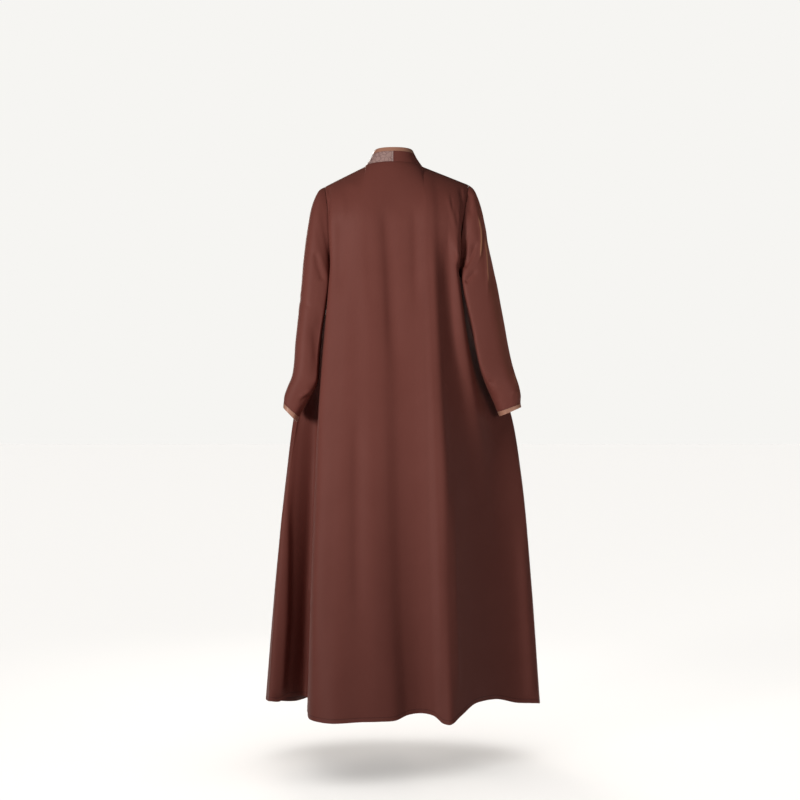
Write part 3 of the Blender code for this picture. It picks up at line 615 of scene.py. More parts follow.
# %% Creases of the back
BACK_CREASES = (
    # Soft troughs high on the back.
    ((-31, -95, -27, -160, -19, -285, -12, -450, -4, -560), -4.5, 20, 14, 0.15, 0.4),
    ((43, -100, 46, -160, 47, -285, 50, -400), -3.5, 18, 13, 0.2, 0.4),
    ((-74, -110, -70, -240, -62, -400), -1.2, 15, 12, 0.3, 0.4),
    ((-114, -38, -112, -74), 2.0, 14, 14, 0.4, 0.5),
    # The pull beside the left armhole, and the notches in its seam.
    ((-142, -120, -141, -200, -143, -290, -147, -350), -3.0, 22, 12, 0.25, 0.35),
    ((-138, -66, -134, -120, -136, -170), 1.5, 10, 10, 0.3, 0.4),
    ((-176, -50, -171, -83, -172, -106, -173, -135), -3.8, 4, 4, 0.15, 0.25),
    # The pulls beside the right armhole.
    ((124, -69, 138, -124, 153, -186), 2.0, 5, 7, 0.25, 0.3),
    ((134, -84, 141, -126), -1.5, 3, 3, 0.3, 0.3),
    ((153, -108, 155, -145, 154, -187), 1.5, 4, 4, 0.3, 0.3),
    ((160, -55, 163, -80, 166, -100, 164, -136, 161, -205), -3.0, 4, 5, 0.1, 0.3),
    # The trough right of the long ridge.
    ((118, -170, 121, -240, 125, -330, 131, -430, 136, -520), -4.2, 19, 15, 0.35, 0.35),
    # The skirt, from left to right.
    ((-276, -780, -281, -860, -282, -1000, -284, -1150, -293, -1300, -297, -1352), 6.0, 9, 18, 0.3, 0.05),
    ((-209, -540, -215, -780, -225, -1050, -234, -1330), -5.0, 8, 16, 0.15, 0.1),
    ((-98, -590, -99, -800, -97, -1000, -95, -1180), -3.5, 20, 14, 0.25, 0.3),
    ((139, -770, 142, -940, 146, -1150, 150, -1330), 2.6, 7, 9, 0.25, 0.15),
    ((240, -640, 252, -860, 262, -1080), -2.5, 26, 20, 0.3, 0.4),
    ((318, -880, 324, -998, 332, -1150, 342, -1302, 344, -1356), 5.0, 9, 16, 0.3, 0.05),
)
print(len(BACK_CREASES), "creases on the back")

# %% [markdown]
# The fronts don't show in the photo. Each one gets a pull from its armhole and three long, low troughs, which
# is what an open front of this cloth does on its way down.

# %% Creases of the fronts
LEFT_FRONT_CREASES = (
    ((-150, -238, -132, -205, -112, -186), -3.0, 8, 8, 0.15, 0.4),
    ((-112, -120, -114, -240, -122, -400), -2.4, 14, 18, 0.3, 0.4),
    ((-84, -250, -92, -600, -112, -1000, -124, -1320), -4.0, 18, 22, 0.25, 0.1),
    ((-196, -520, -222, -820, -238, -1180, -246, -1350), -5.0, 16, 24, 0.3, 0.05),
)
RIGHT_FRONT_CREASES = (
    ((150, -236, 134, -198, 110, -176), -3.4, 8, 8, 0.15, 0.4),
    ((104, -130, 108, -260, 122, -430), -2.0, 18, 14, 0.3, 0.4),
    ((78, -300, 92, -620, 118, -980, 134, -1320), -4.6, 22, 18, 0.25, 0.1),
    ((232, -560, 256, -860, 272, -1150, 280, -1350), -4.4, 22, 16, 0.3, 0.05),
)
print(len(LEFT_FRONT_CREASES) + len(RIGHT_FRONT_CREASES), "creases on the fronts")

# %% [markdown]
# A sleeve creases where it leaves the armhole, where it bends, and above the cuff, where its length gathers.
# The right one has two sharp ridges below its cap, and a fork of three short ones above its cuff.

# %% Creases of the sleeves, behind and before
LEFT_SLEEVE_BEHIND = (
    ((-206, -216, -196, -261, -183, -301), -2.6, 8, 8, 0.2, 0.2),
    ((-191, -345, -192, -400, -196, -480, -200, -552), -6.0, 12, 19, 0.35, 0.2),
    ((-214, -392, -204, -455, -199, -518), -2.0, 14, 9, 0.3, 0.3),
    ((-232, -120, -240, -220, -243, -320), 1.5, 9, 9, 0.3, 0.4),
    ((-250, -330, -232, -352, -212, -362), -1.6, 7, 7, 0.3, 0.3),
    ((-214, -566, -230, -580, -247, -586), 1.8, 6, 6, 0.3, 0.3),
    ((-217, -578, -233, -591, -246, -598), -2.6, 5, 5, 0.2, 0.3),
)
LEFT_SLEEVE_BEFORE = (
    ((-204, -200, -192, -252, -180, -296), -2.4, 8, 8, 0.2, 0.2),
    ((-246, -330, -222, -356, -200, -360), -3.0, 9, 9, 0.2, 0.3),
    ((-252, -372, -228, -392, -206, -388), -2.2, 7, 7, 0.2, 0.3),
    ((-272, -560, -256, -584, -238, -596), -2.0, 6, 6, 0.3, 0.3),
)
RIGHT_SLEEVE_BEHIND = (
    # Two sharp ridges that run down from the cap, the furrows beside them, and two drags to the underarm.
    ((199, -92, 204, -134, 210, -166, 211, -193, 209, -231, 194, -266), 3.0, 3, 4, 0.35, 0.3),
    ((214, -138, 219, -183, 225, -231, 228, -286, 227, -349), 3.0, 3, 4, 0.35, 0.35),
    ((232, -150, 238, -200, 240, -260, 241, -325), -4.5, 12, 8, 0.25, 0.3),
    ((184, -66, 185, -95, 184, -140), -4.6, 7, 10, 0.2, 0.4),
    ((202, -190, 186, -232, 167, -264), -5.4, 6, 8, 0.3, 0.12),
    ((200, -268, 186, -282, 170, -300), -4.2, 6, 7, 0.25, 0.12),
    # A crease and the fork above the cuff.
    ((224, -545, 246, -553), -2.0, 5, 5, 0.3, 0.3),
    ((289, -515, 297, -550, 297, -563), 2.4, 4, 4, 0.3, 0.3),
    ((296, -567, 285, -592), 1.2, 5, 5, 0.3, 0.3),
    ((299, -567, 308, -590), 1.2, 5, 5, 0.3, 0.3),
)
RIGHT_SLEEVE_BEFORE = (
    ((206, -190, 188, -246, 172, -288), -2.8, 8, 8, 0.2, 0.2),
    ((252, -316, 226, -346, 200, -350), -3.2, 9, 9, 0.2, 0.3),
    ((262, -360, 236, -384, 212, -380), -2.0, 7, 7, 0.2, 0.3),
    ((300, -548, 284, -574, 262, -588), -2.2, 6, 6, 0.3, 0.3),
)
print(len(LEFT_SLEEVE_BEHIND) + len(RIGHT_SLEEVE_BEHIND), "creases on the sleeves seen from behind")

# %% [markdown]
# ## Colours and nodes
#
# Colours are written as they look on a screen, so one function turns them into the linear values that a
# shader works with. Another adds a node with its settings and its links in one call.


# %% Helpers for materials
def linear(hexadecimal):
    parts = [int(hexadecimal[i : i + 2], 16) / 255 for i in (1, 3, 5)]
    return [p / 12.92 if p <= 0.04045 else ((p + 0.055) / 1.055) ** 2.4 for p in parts] + [1.0]


def add_node(tree, kind, links=None, values=None, **settings):
    node = tree.nodes.new(kind)
    for name, value in settings.items():
        setattr(node, name, value)
    for socket, value in (values or {}).items():
        node.inputs[socket].default_value = value
    for socket, source in (links or {}).items():
        tree.links.new(source, node.inputs[socket])
    return node


def new_material(name, roughness, **shader_values):
    made = bpy.data.materials.new(name)
    made.use_nodes = True
    tree = made.node_tree
    shader = tree.nodes["Principled BSDF"]
    shader.inputs["Roughness"].default_value = roughness
    for socket, value in shader_values.items():
        shader.inputs[socket.replace("_", " ")].default_value = value
    return made, tree, shader


print("a mid grey is", round(linear("#808080")[0], 3), "in linear values")

# %% [markdown]
# Every cloth here needs the same few things: noise in the cut's metres, a mix of two close colours, since no
# dye is quite even, and a fine relief. On the mix node, the sockets for colours come after those for values.

# %% Helpers for cloth
COLOUR_A, COLOUR_B, MIXED_COLOUR = 6, 7, 2


def on_cut(tree):
    return add_node(tree, "ShaderNodeUVMap", uv_map="cut").outputs["UV"]


def noise(tree, place, size, detail, roughness=0.5):
    values = {"Scale": 1 / size, "Detail": detail, "Roughness": roughness}
    return add_node(tree, "ShaderNodeTexNoise", {"Vector": place}, values)


def mix(tree, factor, first, second):
    links, values = {"Factor": factor}, {COLOUR_B: linear(second)}
    if isinstance(first, str):
        values[COLOUR_A] = linear(first)
    else:
        links[COLOUR_A] = first
    return add_node(tree, "ShaderNodeMix", links, values, data_type="RGBA").outputs[MIXED_COLOUR]


def map_range(tree, source, **limits):
    values = {limit.replace("_", " "): value for limit, value in limits.items()}
    return add_node(tree, "ShaderNodeMapRange", {"Value": source}, values).outputs["Result"]


def relief(tree, shader, height, strength, distance):
    values = {"Strength": strength, "Distance": distance}
    bump = add_node(tree, "ShaderNodeBump", {"Height": height}, values)
    tree.links.new(bump.outputs["Normal"], shader.inputs["Normal"])


print("a mix takes its colours at inputs", COLOUR_A, "and", COLOUR_B)

# %% [markdown]
# ## Crepe
#
# Crepe is woven from hard-twisted polyester yarn that shrinks unevenly in finishing, so its surface is a
# fine pebble with no visible rows. The pebble scatters the light: the cloth looks matt from the front and
# gains a soft, paler bloom where it turns away. The pebble is a fine noise, drawn 1.4 mm wide where the
# real one is about 0.6 mm, because anything finer doesn't show when the whole garment is in view.

# %% Crepe
PEBBLE = 1.4 * MM
UNEVEN_DYE = 90 * MM
crepe, tree, shader = new_material(
    "brown_crepe", roughness=0.62,
    Sheen_Weight=0.12, Sheen_Roughness=0.5, Sheen_Tint=linear("#c4826a"), Specular_IOR_Level=0.2,
)
cut = on_cut(tree)
pebble = noise(tree, cut, PEBBLE, detail=2.0, roughness=0.6).outputs["Fac"]
dye = mix(tree, noise(tree, cut, UNEVEN_DYE, detail=3.0).outputs["Fac"], "#744039", "#7b463f")
relief(tree, shader, pebble, strength=0.35, distance=0.15 * MM)
print("crepe pebble:", PEBBLE / MM, "mm")

# %% [markdown]
# Two values kept on the cloth's points change the crepe's colour, and both paint light or shade into it. Along
# the hem's stitch line the thread draws the cloth into a shallow groove, and a painted shade darkens it there.
# On the sharpest ridges of the right sleeve, thin, warm, light lines are reflections. A light that draws them
# would also light half the sleeve, so the ridge itself gets a painted highlight, a paler, warmer colour. This
# is a painter's way, and it holds under any light.

# %% Painted shade at the hem line and painted highlight on the ridges of the crepe
HEM_DEPTH = 10.0
HEM_SHADE_HALF_WIDTH = 1.8
HIGHLIGHT_FROM_LIFT, HIGHLIGHT_FULL_LIFT = 1.9, 3.0
height = add_node(tree, "ShaderNodeAttribute", attribute_name="above_hem").outputs["Fac"]
beside = add_node(tree, "ShaderNodeMath", {0: height}, {1: HEM_DEPTH}, operation="SUBTRACT").outputs["Value"]
distance = add_node(tree, "ShaderNodeMath", {0: beside}, operation="ABSOLUTE").outputs["Value"]
# Painted shade: within a narrow band along the hem's stitch line, the crepe's colour is darkened towards
# #3c1d1a.
sewn = map_range(tree, distance, From_Max=HEM_SHADE_HALF_WIDTH, To_Min=0.45, To_Max=0.0)
with_painted_hem_shade = mix(tree, sewn, dye, "#3c1d1a")
crest = add_node(tree, "ShaderNodeAttribute", attribute_name="crest").outputs["Fac"]
# Painted highlight: where a crease lifts the sleeve's cloth most, its colour turns paler and warmer, towards
# #b9856a.
ridge = map_range(tree, crest, From_Min=HIGHLIGHT_FROM_LIFT, From_Max=HIGHLIGHT_FULL_LIFT, To_Max=0.9)
tree.links.new(mix(tree, ridge, with_painted_hem_shade, "#b9856a"), shader.inputs["Base Color"])


def keep_on_points(piece, label, outer_values):
    values = np.tile(np.ravel(outer_values), 2).astype(np.float32)
    piece.data.attributes.new(label, "FLOAT", "POINT").data.foreach_set("value", values)


print(f"the hem's stitch line is {HEM_DEPTH} mm up, and ridges are paler from a lift of {HIGHLIGHT_FROM_LIFT} mm")

# %% [markdown]
# ## Jacquard
#
# A jacquard loom lifts single warp threads, so it can leave a figure in the weave itself. This one is a
# mauve-taupe satin ground with thin, darker, curling lines about a centimetre apart. The lines are the
# borders between warped cells, which curl and close like a scroll without repeating a drawing.

# %% Jacquard
CELL = 10.5 * MM
CURL, CURL_WAVE = 11 * MM, 12 * MM
GROUND_WEAVE = 1.6 * MM
jacquard, tree, shader = new_material(
    "mauve_jacquard", roughness=0.42,
    Sheen_Weight=0.25, Sheen_Roughness=0.4, Sheen_Tint=linear("#e0c4bb"), Specular_IOR_Level=0.45,
)
cut = on_cut(tree)
bend = noise(tree, cut, CURL_WAVE, detail=1.0).outputs["Color"]
spread = add_node(tree, "ShaderNodeVectorMath", {0: bend}, {1: (CURL, CURL, 0.0)}, operation="MULTIPLY")
warped = add_node(tree, "ShaderNodeVectorMath", {0: cut, 1: spread.outputs["Vector"]}, operation="ADD")
cells = add_node(
    tree, "ShaderNodeTexVoronoi", {"Vector": warped.outputs["Vector"]}, {"Scale": 1 / CELL},
    feature="DISTANCE_TO_EDGE",
)
figure = map_range(tree, cells.outputs["Distance"], From_Min=0.02, From_Max=0.1, To_Min=1.0, To_Max=0.0)
ground = mix(tree, noise(tree, cut, GROUND_WEAVE, detail=2.0).outputs["Fac"], "#a98c89", "#bda19c")
tree.links.new(mix(tree, figure, ground, "#907574"), shader.inputs["Base Color"])
relief(tree, shader, figure, strength=0.3, distance=0.2 * MM)
print("jacquard cells:", CELL / MM, "mm")

# %% [markdown]
# ## Satin
#
# Satin floats its yarns over several others, so it shines across the yarns more than along them. The binding
# is a bias strip about a centimetre wide. Fine streaks stand in for the floats, drawn 0.8 mm apart, which is
# coarser than the real ones but still reads as a sheen and not as stripes.

# %% Satin
STREAK = 0.8 * MM
STREAK_IS_LONGER = 0.15
UNEVEN_SATIN = 30 * MM
satin, tree, shader = new_material(
    "taupe_satin", roughness=0.34,
    Sheen_Weight=0.12, Sheen_Roughness=0.3, Specular_IOR_Level=0.5, Anisotropic=0.4,
)
cut = on_cut(tree)
along = add_node(tree, "ShaderNodeMapping", {"Vector": cut}, {"Scale": (1.0, STREAK_IS_LONGER, 1.0)})
floats = noise(tree, along.outputs["Vector"], STREAK, detail=2.0).outputs["Fac"]
dye = mix(tree, noise(tree, cut, UNEVEN_SATIN, detail=2.0).outputs["Fac"], "#ac7d69", "#c2917c")
tree.links.new(dye, shader.inputs["Base Color"])
tree.links.new(map_range(tree, floats, To_Min=0.28, To_Max=0.42), shader.inputs["Roughness"])
relief(tree, shader, floats, strength=0.2, distance=0.08 * MM)
print("satin streaks:", STREAK / MM, "mm")

# %% [markdown]
# ## Sewing thread
#
# Spun polyester thread in a brown close to the crepe's and a shade darker. Its colour changes along the
# thread as its twist turns, so that a stitch doesn't look like a bead.

# %% Thread
TWIST = 2 * MM
thread, tree, shader = new_material("sewing_thread", roughness=0.5, Specular_IOR_Level=0.4)
place = add_node(tree, "ShaderNodeTexCoord").outputs["Object"]
dye = mix(tree, noise(tree, place, TWIST, detail=1.0).outputs["Fac"], "#5d312c", "#74443e")
tree.links.new(dye, shader.inputs["Base Color"])
print("thread twist:", TWIST / MM, "mm")

# %% [markdown]
# ## From points to cloth
#
# Real crepe is about half a millimetre thick. Each piece becomes a closed sheet 0.9 mm thick, with its outer
# face where the rigid wall has it, and thicker in its hem, where the cloth is turned up. Its UV map is its
# cut in metres, so a weave keeps its size and follows the folds.


# %% Faces and cut of a sheet
def sheet_faces(rows, columns, closed):
    wrap = columns if closed else columns - 1
    row, column = np.meshgrid(np.arange(rows - 1), np.arange(wrap), indexing="ij")
    row, column = row.ravel(), column.ravel()
    after = (column + 1) % columns
    half = rows * columns
    over, under = row * columns, (row + 1) * columns
    front = np.stack([over + column, over + after, under + after, under + column], 1)
    faces = [front, front[:, ::-1] + half]
    ring = np.arange(wrap)
    ring_after = (ring + 1) % columns
    last = (rows - 1) * columns
    faces.append(np.stack([half + ring, half + ring_after, ring_after, ring], 1))
    faces.append(np.stack([last + ring, last + ring_after, half + last + ring_after, half + last + ring], 1))
    if not closed:
        left = np.arange(rows - 1) * columns
        right = left + columns - 1
        faces.append(np.stack([left, left + columns, half + left + columns, half + left], 1))
        faces.append(np.stack([half + right, half + right + columns, right + columns, right], 1))
    return np.concatenate(faces)


def cut_of(outer, faces, closed):
    edges = from_edges(outer)
    u, v = edges["first"] * MM, edges["top"] * MM
    cut_map = np.stack([np.tile(u.ravel(), 2), -np.tile(v.ravel(), 2)], axis=1)
    uvs = cut_map[faces.ravel()].reshape(-1, 4, 2)
    closing = np.linalg.norm(outer[:, 0] - outer[:, -1], axis=1) * MM * closed
    if closed:
        span = float(u[:, -1].mean() + closing.mean())
        wide = uvs[..., 0].max(axis=1) - uvs[..., 0].min(axis=1) > span / 2
        uvs[..., 0] = np.where(wide[:, None] & (uvs[..., 0] < span / 2), uvs[..., 0] + span, uvs[..., 0])
    return uvs, u[:, -1].max() + closing.max(), v.max()


print(len(sheet_faces(3, 4, closed=False)), "faces on a sheet of 3 x 4 points")

# %% [markdown]
# A sheet is its outer grid of points and an inner one, a thickness behind it, with faces over both and round
# the rim. The faces have to look outwards, so all are turned round where the enclosed volume comes out below
# zero. Only edges sharper than 50 degrees stay hard.

# %% Sheet maker
SHEET = 0.9
HEM_SHEET = 1.6
HALF_GAP = SEAM_GAP / 2
SHARP = np.radians(50)


def put_in_scene(name, data):
    made = bpy.data.objects.new(name, data)
    bpy.context.scene.collection.objects.link(made)
    return made


def sheet_object(name, outer, directions, thickness, cloth, closed=False):
    inner = outer - np.reshape(thickness, (-1, 1, 1)) * directions
    points = np.concatenate([outer.reshape(-1, 3), inner.reshape(-1, 3)]) * MM
    faces = sheet_faces(*outer.shape[:2], closed)
    a, b, c, d = (points[faces[:, corner]] for corner in range(4))
    if np.einsum("ij,ij->", a, np.cross(b, c) + np.cross(c, d)) < 0:
        faces = faces[:, ::-1]
    mesh = bpy.data.meshes.new(name)
    mesh.from_pydata(points, [], faces.tolist())
    uvs, width, length = cut_of(outer, faces, closed)
    mesh.uv_layers.new(name="cut").data.foreach_set("uv", uvs.ravel())
    mesh.shade_smooth()
    mesh.set_sharp_from_angle(angle=SHARP)
    mesh.materials.append(cloth)
    mesh.validate()
    down, across = np.diff(outer, axis=0)[:, :-1], np.diff(outer, axis=1)[:-1]
    area = np.linalg.norm(np.cross(down, across), axis=2).sum() * MM * MM
    print(f"{name}: {2 * len(faces)} triangles, {width:.3f} x {length:.3f} m, {area:.3f} square metres")
    return put_in_scene(name, mesh)


def draw_in(grid, edge):
    sideways = grid.swapaxes(0, 1)
    rows = {"top": grid, "bottom": grid[::-1], "first": sideways, "last": sideways[::-1]}[edge]
    rows[0] += HALF_GAP * unit(rows[1] - rows[0])


def hemmed(grid):
    up = from_edges(grid)["bottom"].mean(axis=1)
    return SHEET + (HEM_SHEET - SHEET) * (up < HEM_DEPTH)


# %% [markdown]
# ## The body's panels
#
# The panels are joined by plain seams, and their lower edge is turned up twice and stitched. Sewing gathers
# the cloth a little, so small puckers run beside each seam. The edges are drawn in by half of a narrow gap,
# which keeps the sheets apart and shows as the line of the seam.

# %% Sew the body's panels
pieces, finished = {}, {}
body_edges = {key: from_edges(grid) for key, grid in {"back": back, **fronts}.items()}
seams = {
    "left": np.vstack([back[0, left_neck : centre + 1][::-1], fronts["left"][1:, -1]]),
    "right": np.vstack([back[0, centre : right_neck + 1], fronts["right"][1:, -1]]),
}
inward = {name: unit(grid[:, -1] - grid[:, -2]) for name, grid in fronts.items()}
for name, grid, key, creases, view in (
    ("back", back, "back", BACK_CREASES, -1),
    ("left_front", fronts["left"], "left", LEFT_FRONT_CREASES, 1),
    ("right_front", fronts["right"], "right", RIGHT_FRONT_CREASES, 1),
):
    edges = body_edges[key]
    lift = crease_lift(grid, towards(normals[key], view), creases)
    lift += seam_lift(edges["first"], edges["top"], pucker=0.25, seed=3)
    if name == "back":
        lift += seam_lift(edges["last"], edges["top"], pucker=0.25, seed=5)
    lift += seam_lift(np.abs(edges["bottom"] - HEM_DEPTH), edges["first"], pucker=0.35, seed=11)
    grid = grid + lift[..., None] * normals[key]
    for edge in ("top", "first", "last"):
        draw_in(grid, edge)
    pieces[name] = sheet_object(name, grid, normals[key], hemmed(grid), crepe)
    # The height above the hem places the crepe's painted shade along the stitch line.
    keep_on_points(pieces[name], "above_hem", edges["bottom"])
    finished[name] = (grid, normals[key])

# %% [markdown]
# ## Sleeves and cuffs
#
# A set-in sleeve is sewn into the armhole as a tube, and its cuff is bound with a folded strip of satin. The
# binding takes the last rings of the tube. It lies a little proud of the crepe, as a folded strip does.

# %% Set in the sleeves
BINDING_RINGS = 4
CUFF_BINDING_SHEET, CUFF_BINDING_PROUD = 1.9, 0.4
TUBE = slice(None, 1 - BINDING_RINGS)
CUFF = slice(-BINDING_RINGS, None)
for name, creases_behind, creases_before in (
    ("left_sleeve", LEFT_SLEEVE_BEHIND, LEFT_SLEEVE_BEFORE),
    ("right_sleeve", RIGHT_SLEEVE_BEHIND, RIGHT_SLEEVE_BEFORE),
):
    rings = sleeves[name]
    around = normals[name]
    edges = from_edges(rings)
    lift = crease_lift(rings, towards(around, -1), creases_behind)
    lift += crease_lift(rings, towards(around, 1), creases_before)
    lift += seam_lift(edges["top"], edges["first"], pucker=0.35, seed=17)
    rings = rings + lift[..., None] * around
    tube, cuff = rings[TUBE].copy(), rings[CUFF].copy()
    draw_in(tube, "bottom")
    draw_in(cuff, "top")
    pieces[name] = sheet_object(name, tube, around[TUBE], SHEET, crepe, closed=True)
    # The lift of the creases places the crepe's painted highlight on the sharpest ridges.
    keep_on_points(pieces[name], "crest", lift[TUBE])
    finished[name] = (tube, around[TUBE])
    binding, out = name.replace("sleeve", "cuff_binding"), around[CUFF]
    cuff = cuff + CUFF_BINDING_PROUD * out
    pieces[binding] = sheet_object(binding, cuff, out, CUFF_BINDING_SHEET, satin, closed=True)

# %% [markdown]
# ## Neckband, front bands and their binding
#
# The neckband stands up at the nape and runs on down both fronts as bands 28 mm wide. It is two strips that
# meet at the centre back, jacquard at the left and crepe at the right. Each strip is laid across its seam,
# along directions that turn from upright at the back to flat on the front, and are then smoothed.

# %% Directions of the bands
BAND_WIDTH = 28
EDGE_BINDING_WIDTH = 10
BAND_SETTLES_BELOW = 75
BAND_WAY_AT_CENTRE_BACK = (0.0, 0.25, 0.97)
BAND_WAY_AT_NECK_POINT = (0.61, 0.0, 0.79)
BAND_SMOOTHING = 12


def band_directions(seam, neck_points, towards_centre, front_inward):
    along = unit(np.gradient(seam, axis=0))
    at_back = np.array(BAND_WAY_AT_CENTRE_BACK)
    at_side = np.array(BAND_WAY_AT_NECK_POINT) * (towards_centre, 1, 1)
    found = []
    for index, point in enumerate(seam):
        if index <= neck_points:
            turn = smoothstep(index / neck_points)
            way = at_back * (1 - turn) + at_side * turn
        else:
            settled = smoothstep(-point[2] / BAND_SETTLES_BELOW)
            way = at_side * (1 - settled) + front_inward[index - neck_points] * settled
        if index:
            way = way - along[index] * np.dot(way, along[index])
        found.append(way)
    found = unit(np.array(found))
    for _ in range(BAND_SMOOTHING):
        found[1:-1] = unit(found[:-2] + 2 * found[1:-1] + found[2:])
    return found


def strip(seam, directions, start, width, cells):
    across = start + width * np.arange(cells + 1) / cells
    return seam[:, None, :] + across[None, :, None] * directions[:, None, :]


print("bands", BAND_WIDTH, "mm wide, with a binding of", EDGE_BINDING_WIDTH, "mm")

# %% [markdown]
# The binding is one folded strip of satin along the free edge of both bands. At the centre back both sides
# look the same way, so that no kink shows there, and both bands are drawn in beside the seam between them.

# %% Bands and binding
BAND_SHEET, BINDING_SHEET, BINDING_PROUD = 1.6, 2.4, 0.3
BAND_CELLS, BINDING_CELLS = 10, 6
bands, bindings = {}, {}
neck_steps = {"left": centre - left_neck, "right": right_neck - centre}
for name, towards_centre in (("left", 1), ("right", -1)):
    directions = band_directions(seams[name], neck_steps[name], towards_centre, inward[name])
    band = strip(seams[name], directions, HALF_GAP, BAND_WIDTH - SEAM_GAP, BAND_CELLS)
    binding = strip(seams[name], directions, BAND_WIDTH + HALF_GAP, EDGE_BINDING_WIDTH, BINDING_CELLS)
    bands[name] = (band, outward(band, towards_centre))
    bindings[name] = (binding, outward(binding, towards_centre))
share_normals(bands["left"][1][0], bands["right"][1][0])
share_normals(bindings["left"][1][0], bindings["right"][1][0])
for name, (band, out) in bands.items():
    share_normals(out[:, -1], bindings[name][1][:, 0])
for name, cloth in (("left", jacquard), ("right", crepe)):
    band, out = bands[name]
    draw_in(band, "top")
    pieces[f"{name}_band"] = sheet_object(f"{name}_band", band, out, BAND_SHEET, cloth)
    finished[f"{name}_band"] = (band, out)

binding, out = (np.vstack([bindings["left"][k][::-1], bindings["right"][k][1:]]) for k in (0, 1))
binding = binding + BINDING_PROUD * out
pieces["edge_binding"] = sheet_object("edge_binding", binding, out, BINDING_SHEET, satin)

# %% [markdown]
# ## Stitches
#
# A machine sews with equal stitches at an equal pitch, so a node group does the same: it walks along drawn
# lines, puts a short round stitch at every step, and turns it along the line. The lines follow the hem, the
# edges of the binding, the cuffs, and the press line beside the centre seam of the band.

# %% Where the seams are sewn
STITCH_PITCH = 3.2
STITCH_LENGTH = 2.3
THREAD_RADIUS = 0.28
THREAD_ABOVE_CLOTH = 0.1
HEM_STITCHES_UP = HEM_DEPTH - 1
BESIDE_EDGE = 1.6
PRESS_LINE_BESIDE = 7.0


def line_above_hem(name, up):
    grid, out = finished[name]
    height = from_edges(grid)["bottom"]
    line = []
    for column in range(grid.shape[1]):
        row = np.interp(up, height[::-1, column], np.arange(len(grid))[::-1])
        low = int(row)
        share = row - low
        after = min(low + 1, len(grid) - 1)
        line.append((1 - share) * grid[low, column] + share * grid[after, column])
        line[-1] = line[-1] + THREAD_ABOVE_CLOTH * out[low, column]
    return np.array(line)


lines = [line_above_hem(name, HEM_STITCHES_UP) for name in ("back", "left_front", "right_front")]
for name in ("left_sleeve", "right_sleeve"):
    sewn = line_above_hem(name, BESIDE_EDGE)
    lines.append(np.vstack([sewn, sewn[:1]]))
for name in ("left_band", "right_band"):
    band, out = finished[name]
    edge = band[:, -1] - BESIDE_EDGE * unit(band[:, -1] - band[:, -2])
    lines.append(edge + THREAD_ABOVE_CLOTH * out[:, -1])
band, out = finished["right_band"]
from_centre = np.cumsum(np.linalg.norm(np.diff(band[:, 0], axis=0), axis=1))
press = np.searchsorted(from_centre, PRESS_LINE_BESIDE)
lines.append(band[press] + THREAD_ABOVE_CLOTH * out[press])
sewn_length = sum(np.linalg.norm(np.diff(line, axis=0), axis=1).sum() for line in lines) * MM
print(f"{sewn_length:.1f} m of stitching")

# %% [markdown]
# The node group has the lines, the pitch, the length, the radius and the thread as its inputs. It cuts each
# line into equal steps, sets a short six-sided cylinder on every step, and turns it along the line.

# %% The stitcher
THREAD_SIDES = 6
stitcher = bpy.data.node_groups.new("stitcher", "GeometryNodeTree")
kinds = {"Lines": "Geometry", "Pitch": "Float", "Length": "Float", "Radius": "Float", "Thread": "Material"}
for label, kind in kinds.items():
    stitcher.interface.new_socket(label, in_out="INPUT", socket_type=f"NodeSocket{kind}")
stitcher.interface.new_socket("Stitches", in_out="OUTPUT", socket_type="NodeSocketGeometry")
given = add_node(stitcher, "NodeGroupInput").outputs
curve = add_node(stitcher, "GeometryNodeMeshToCurve", {"Mesh": given["Lines"]}).outputs["Curve"]
steps = add_node(
    stitcher, "GeometryNodeResampleCurve", {"Curve": curve, "Length": given["Pitch"]}, mode="LENGTH"
)
one = add_node(
    stitcher, "GeometryNodeMeshCylinder", {"Radius": given["Radius"], "Depth": given["Length"]},
    {"Vertices": THREAD_SIDES},
)
tangent = add_node(stitcher, "GeometryNodeInputTangent").outputs["Tangent"]
turned = add_node(stitcher, "FunctionNodeAlignRotationToVector", {"Vector": tangent}, axis="Z")
to_place = {"Points": steps.outputs["Curve"], "Instance": one.outputs["Mesh"]}
to_place["Rotation"] = turned.outputs["Rotation"]
placed = add_node(stitcher, "GeometryNodeInstanceOnPoints", to_place)
real = add_node(stitcher, "GeometryNodeRealizeInstances", {"Geometry": placed.outputs["Instances"]})
dressed = add_node(
    stitcher, "GeometryNodeSetMaterial", {"Geometry": real.outputs["Geometry"], "Material": given["Thread"]}
)
add_node(stitcher, "NodeGroupOutput", {"Stitches": dressed.outputs["Geometry"]})
print("the stitcher has", len(stitcher.nodes), "nodes")

# %% [markdown]
# The lines become one mesh of edges, and the node group turns it into stitches. What it makes is kept as a
# plain mesh, so that the stitches go wherever the cloth goes.

# %% Sew
guide = bpy.data.meshes.new("sewing_lines")
ends = np.cumsum([len(line) for line in lines])
joined = np.vstack(lines) * MM
edge_pairs = [(i, i + 1) for i in range(len(joined) - 1) if i + 1 not in ends]
guide.from_pydata(joined, edge_pairs, [])
guide_object = put_in_scene("sewing_lines", guide)
modifier = guide_object.modifiers.new("stitches", "NODES")
modifier.node_group = stitcher
settings = {"Pitch": STITCH_PITCH * MM, "Length": STITCH_LENGTH * MM, "Radius": THREAD_RADIUS * MM}
settings["Thread"] = thread
for item in stitcher.interface.items_tree:
    if item.in_out == "INPUT" and item.name in settings:
        modifier[item.identifier] = settings[item.name]
evaluated = guide_object.evaluated_get(bpy.context.evaluated_depsgraph_get())
stitch_mesh = bpy.data.meshes.new_from_object(evaluated)
stitch_mesh.name = "stitches"
stitches = put_in_scene("stitches", stitch_mesh)
bpy.data.objects.remove(guide_object, do_unlink=True)
stitch_mesh.shade_smooth()
stitch_mesh.set_sharp_from_angle(angle=SHARP)
print(len(stitch_mesh.polygons) // (THREAD_SIDES + 2), "stitches")
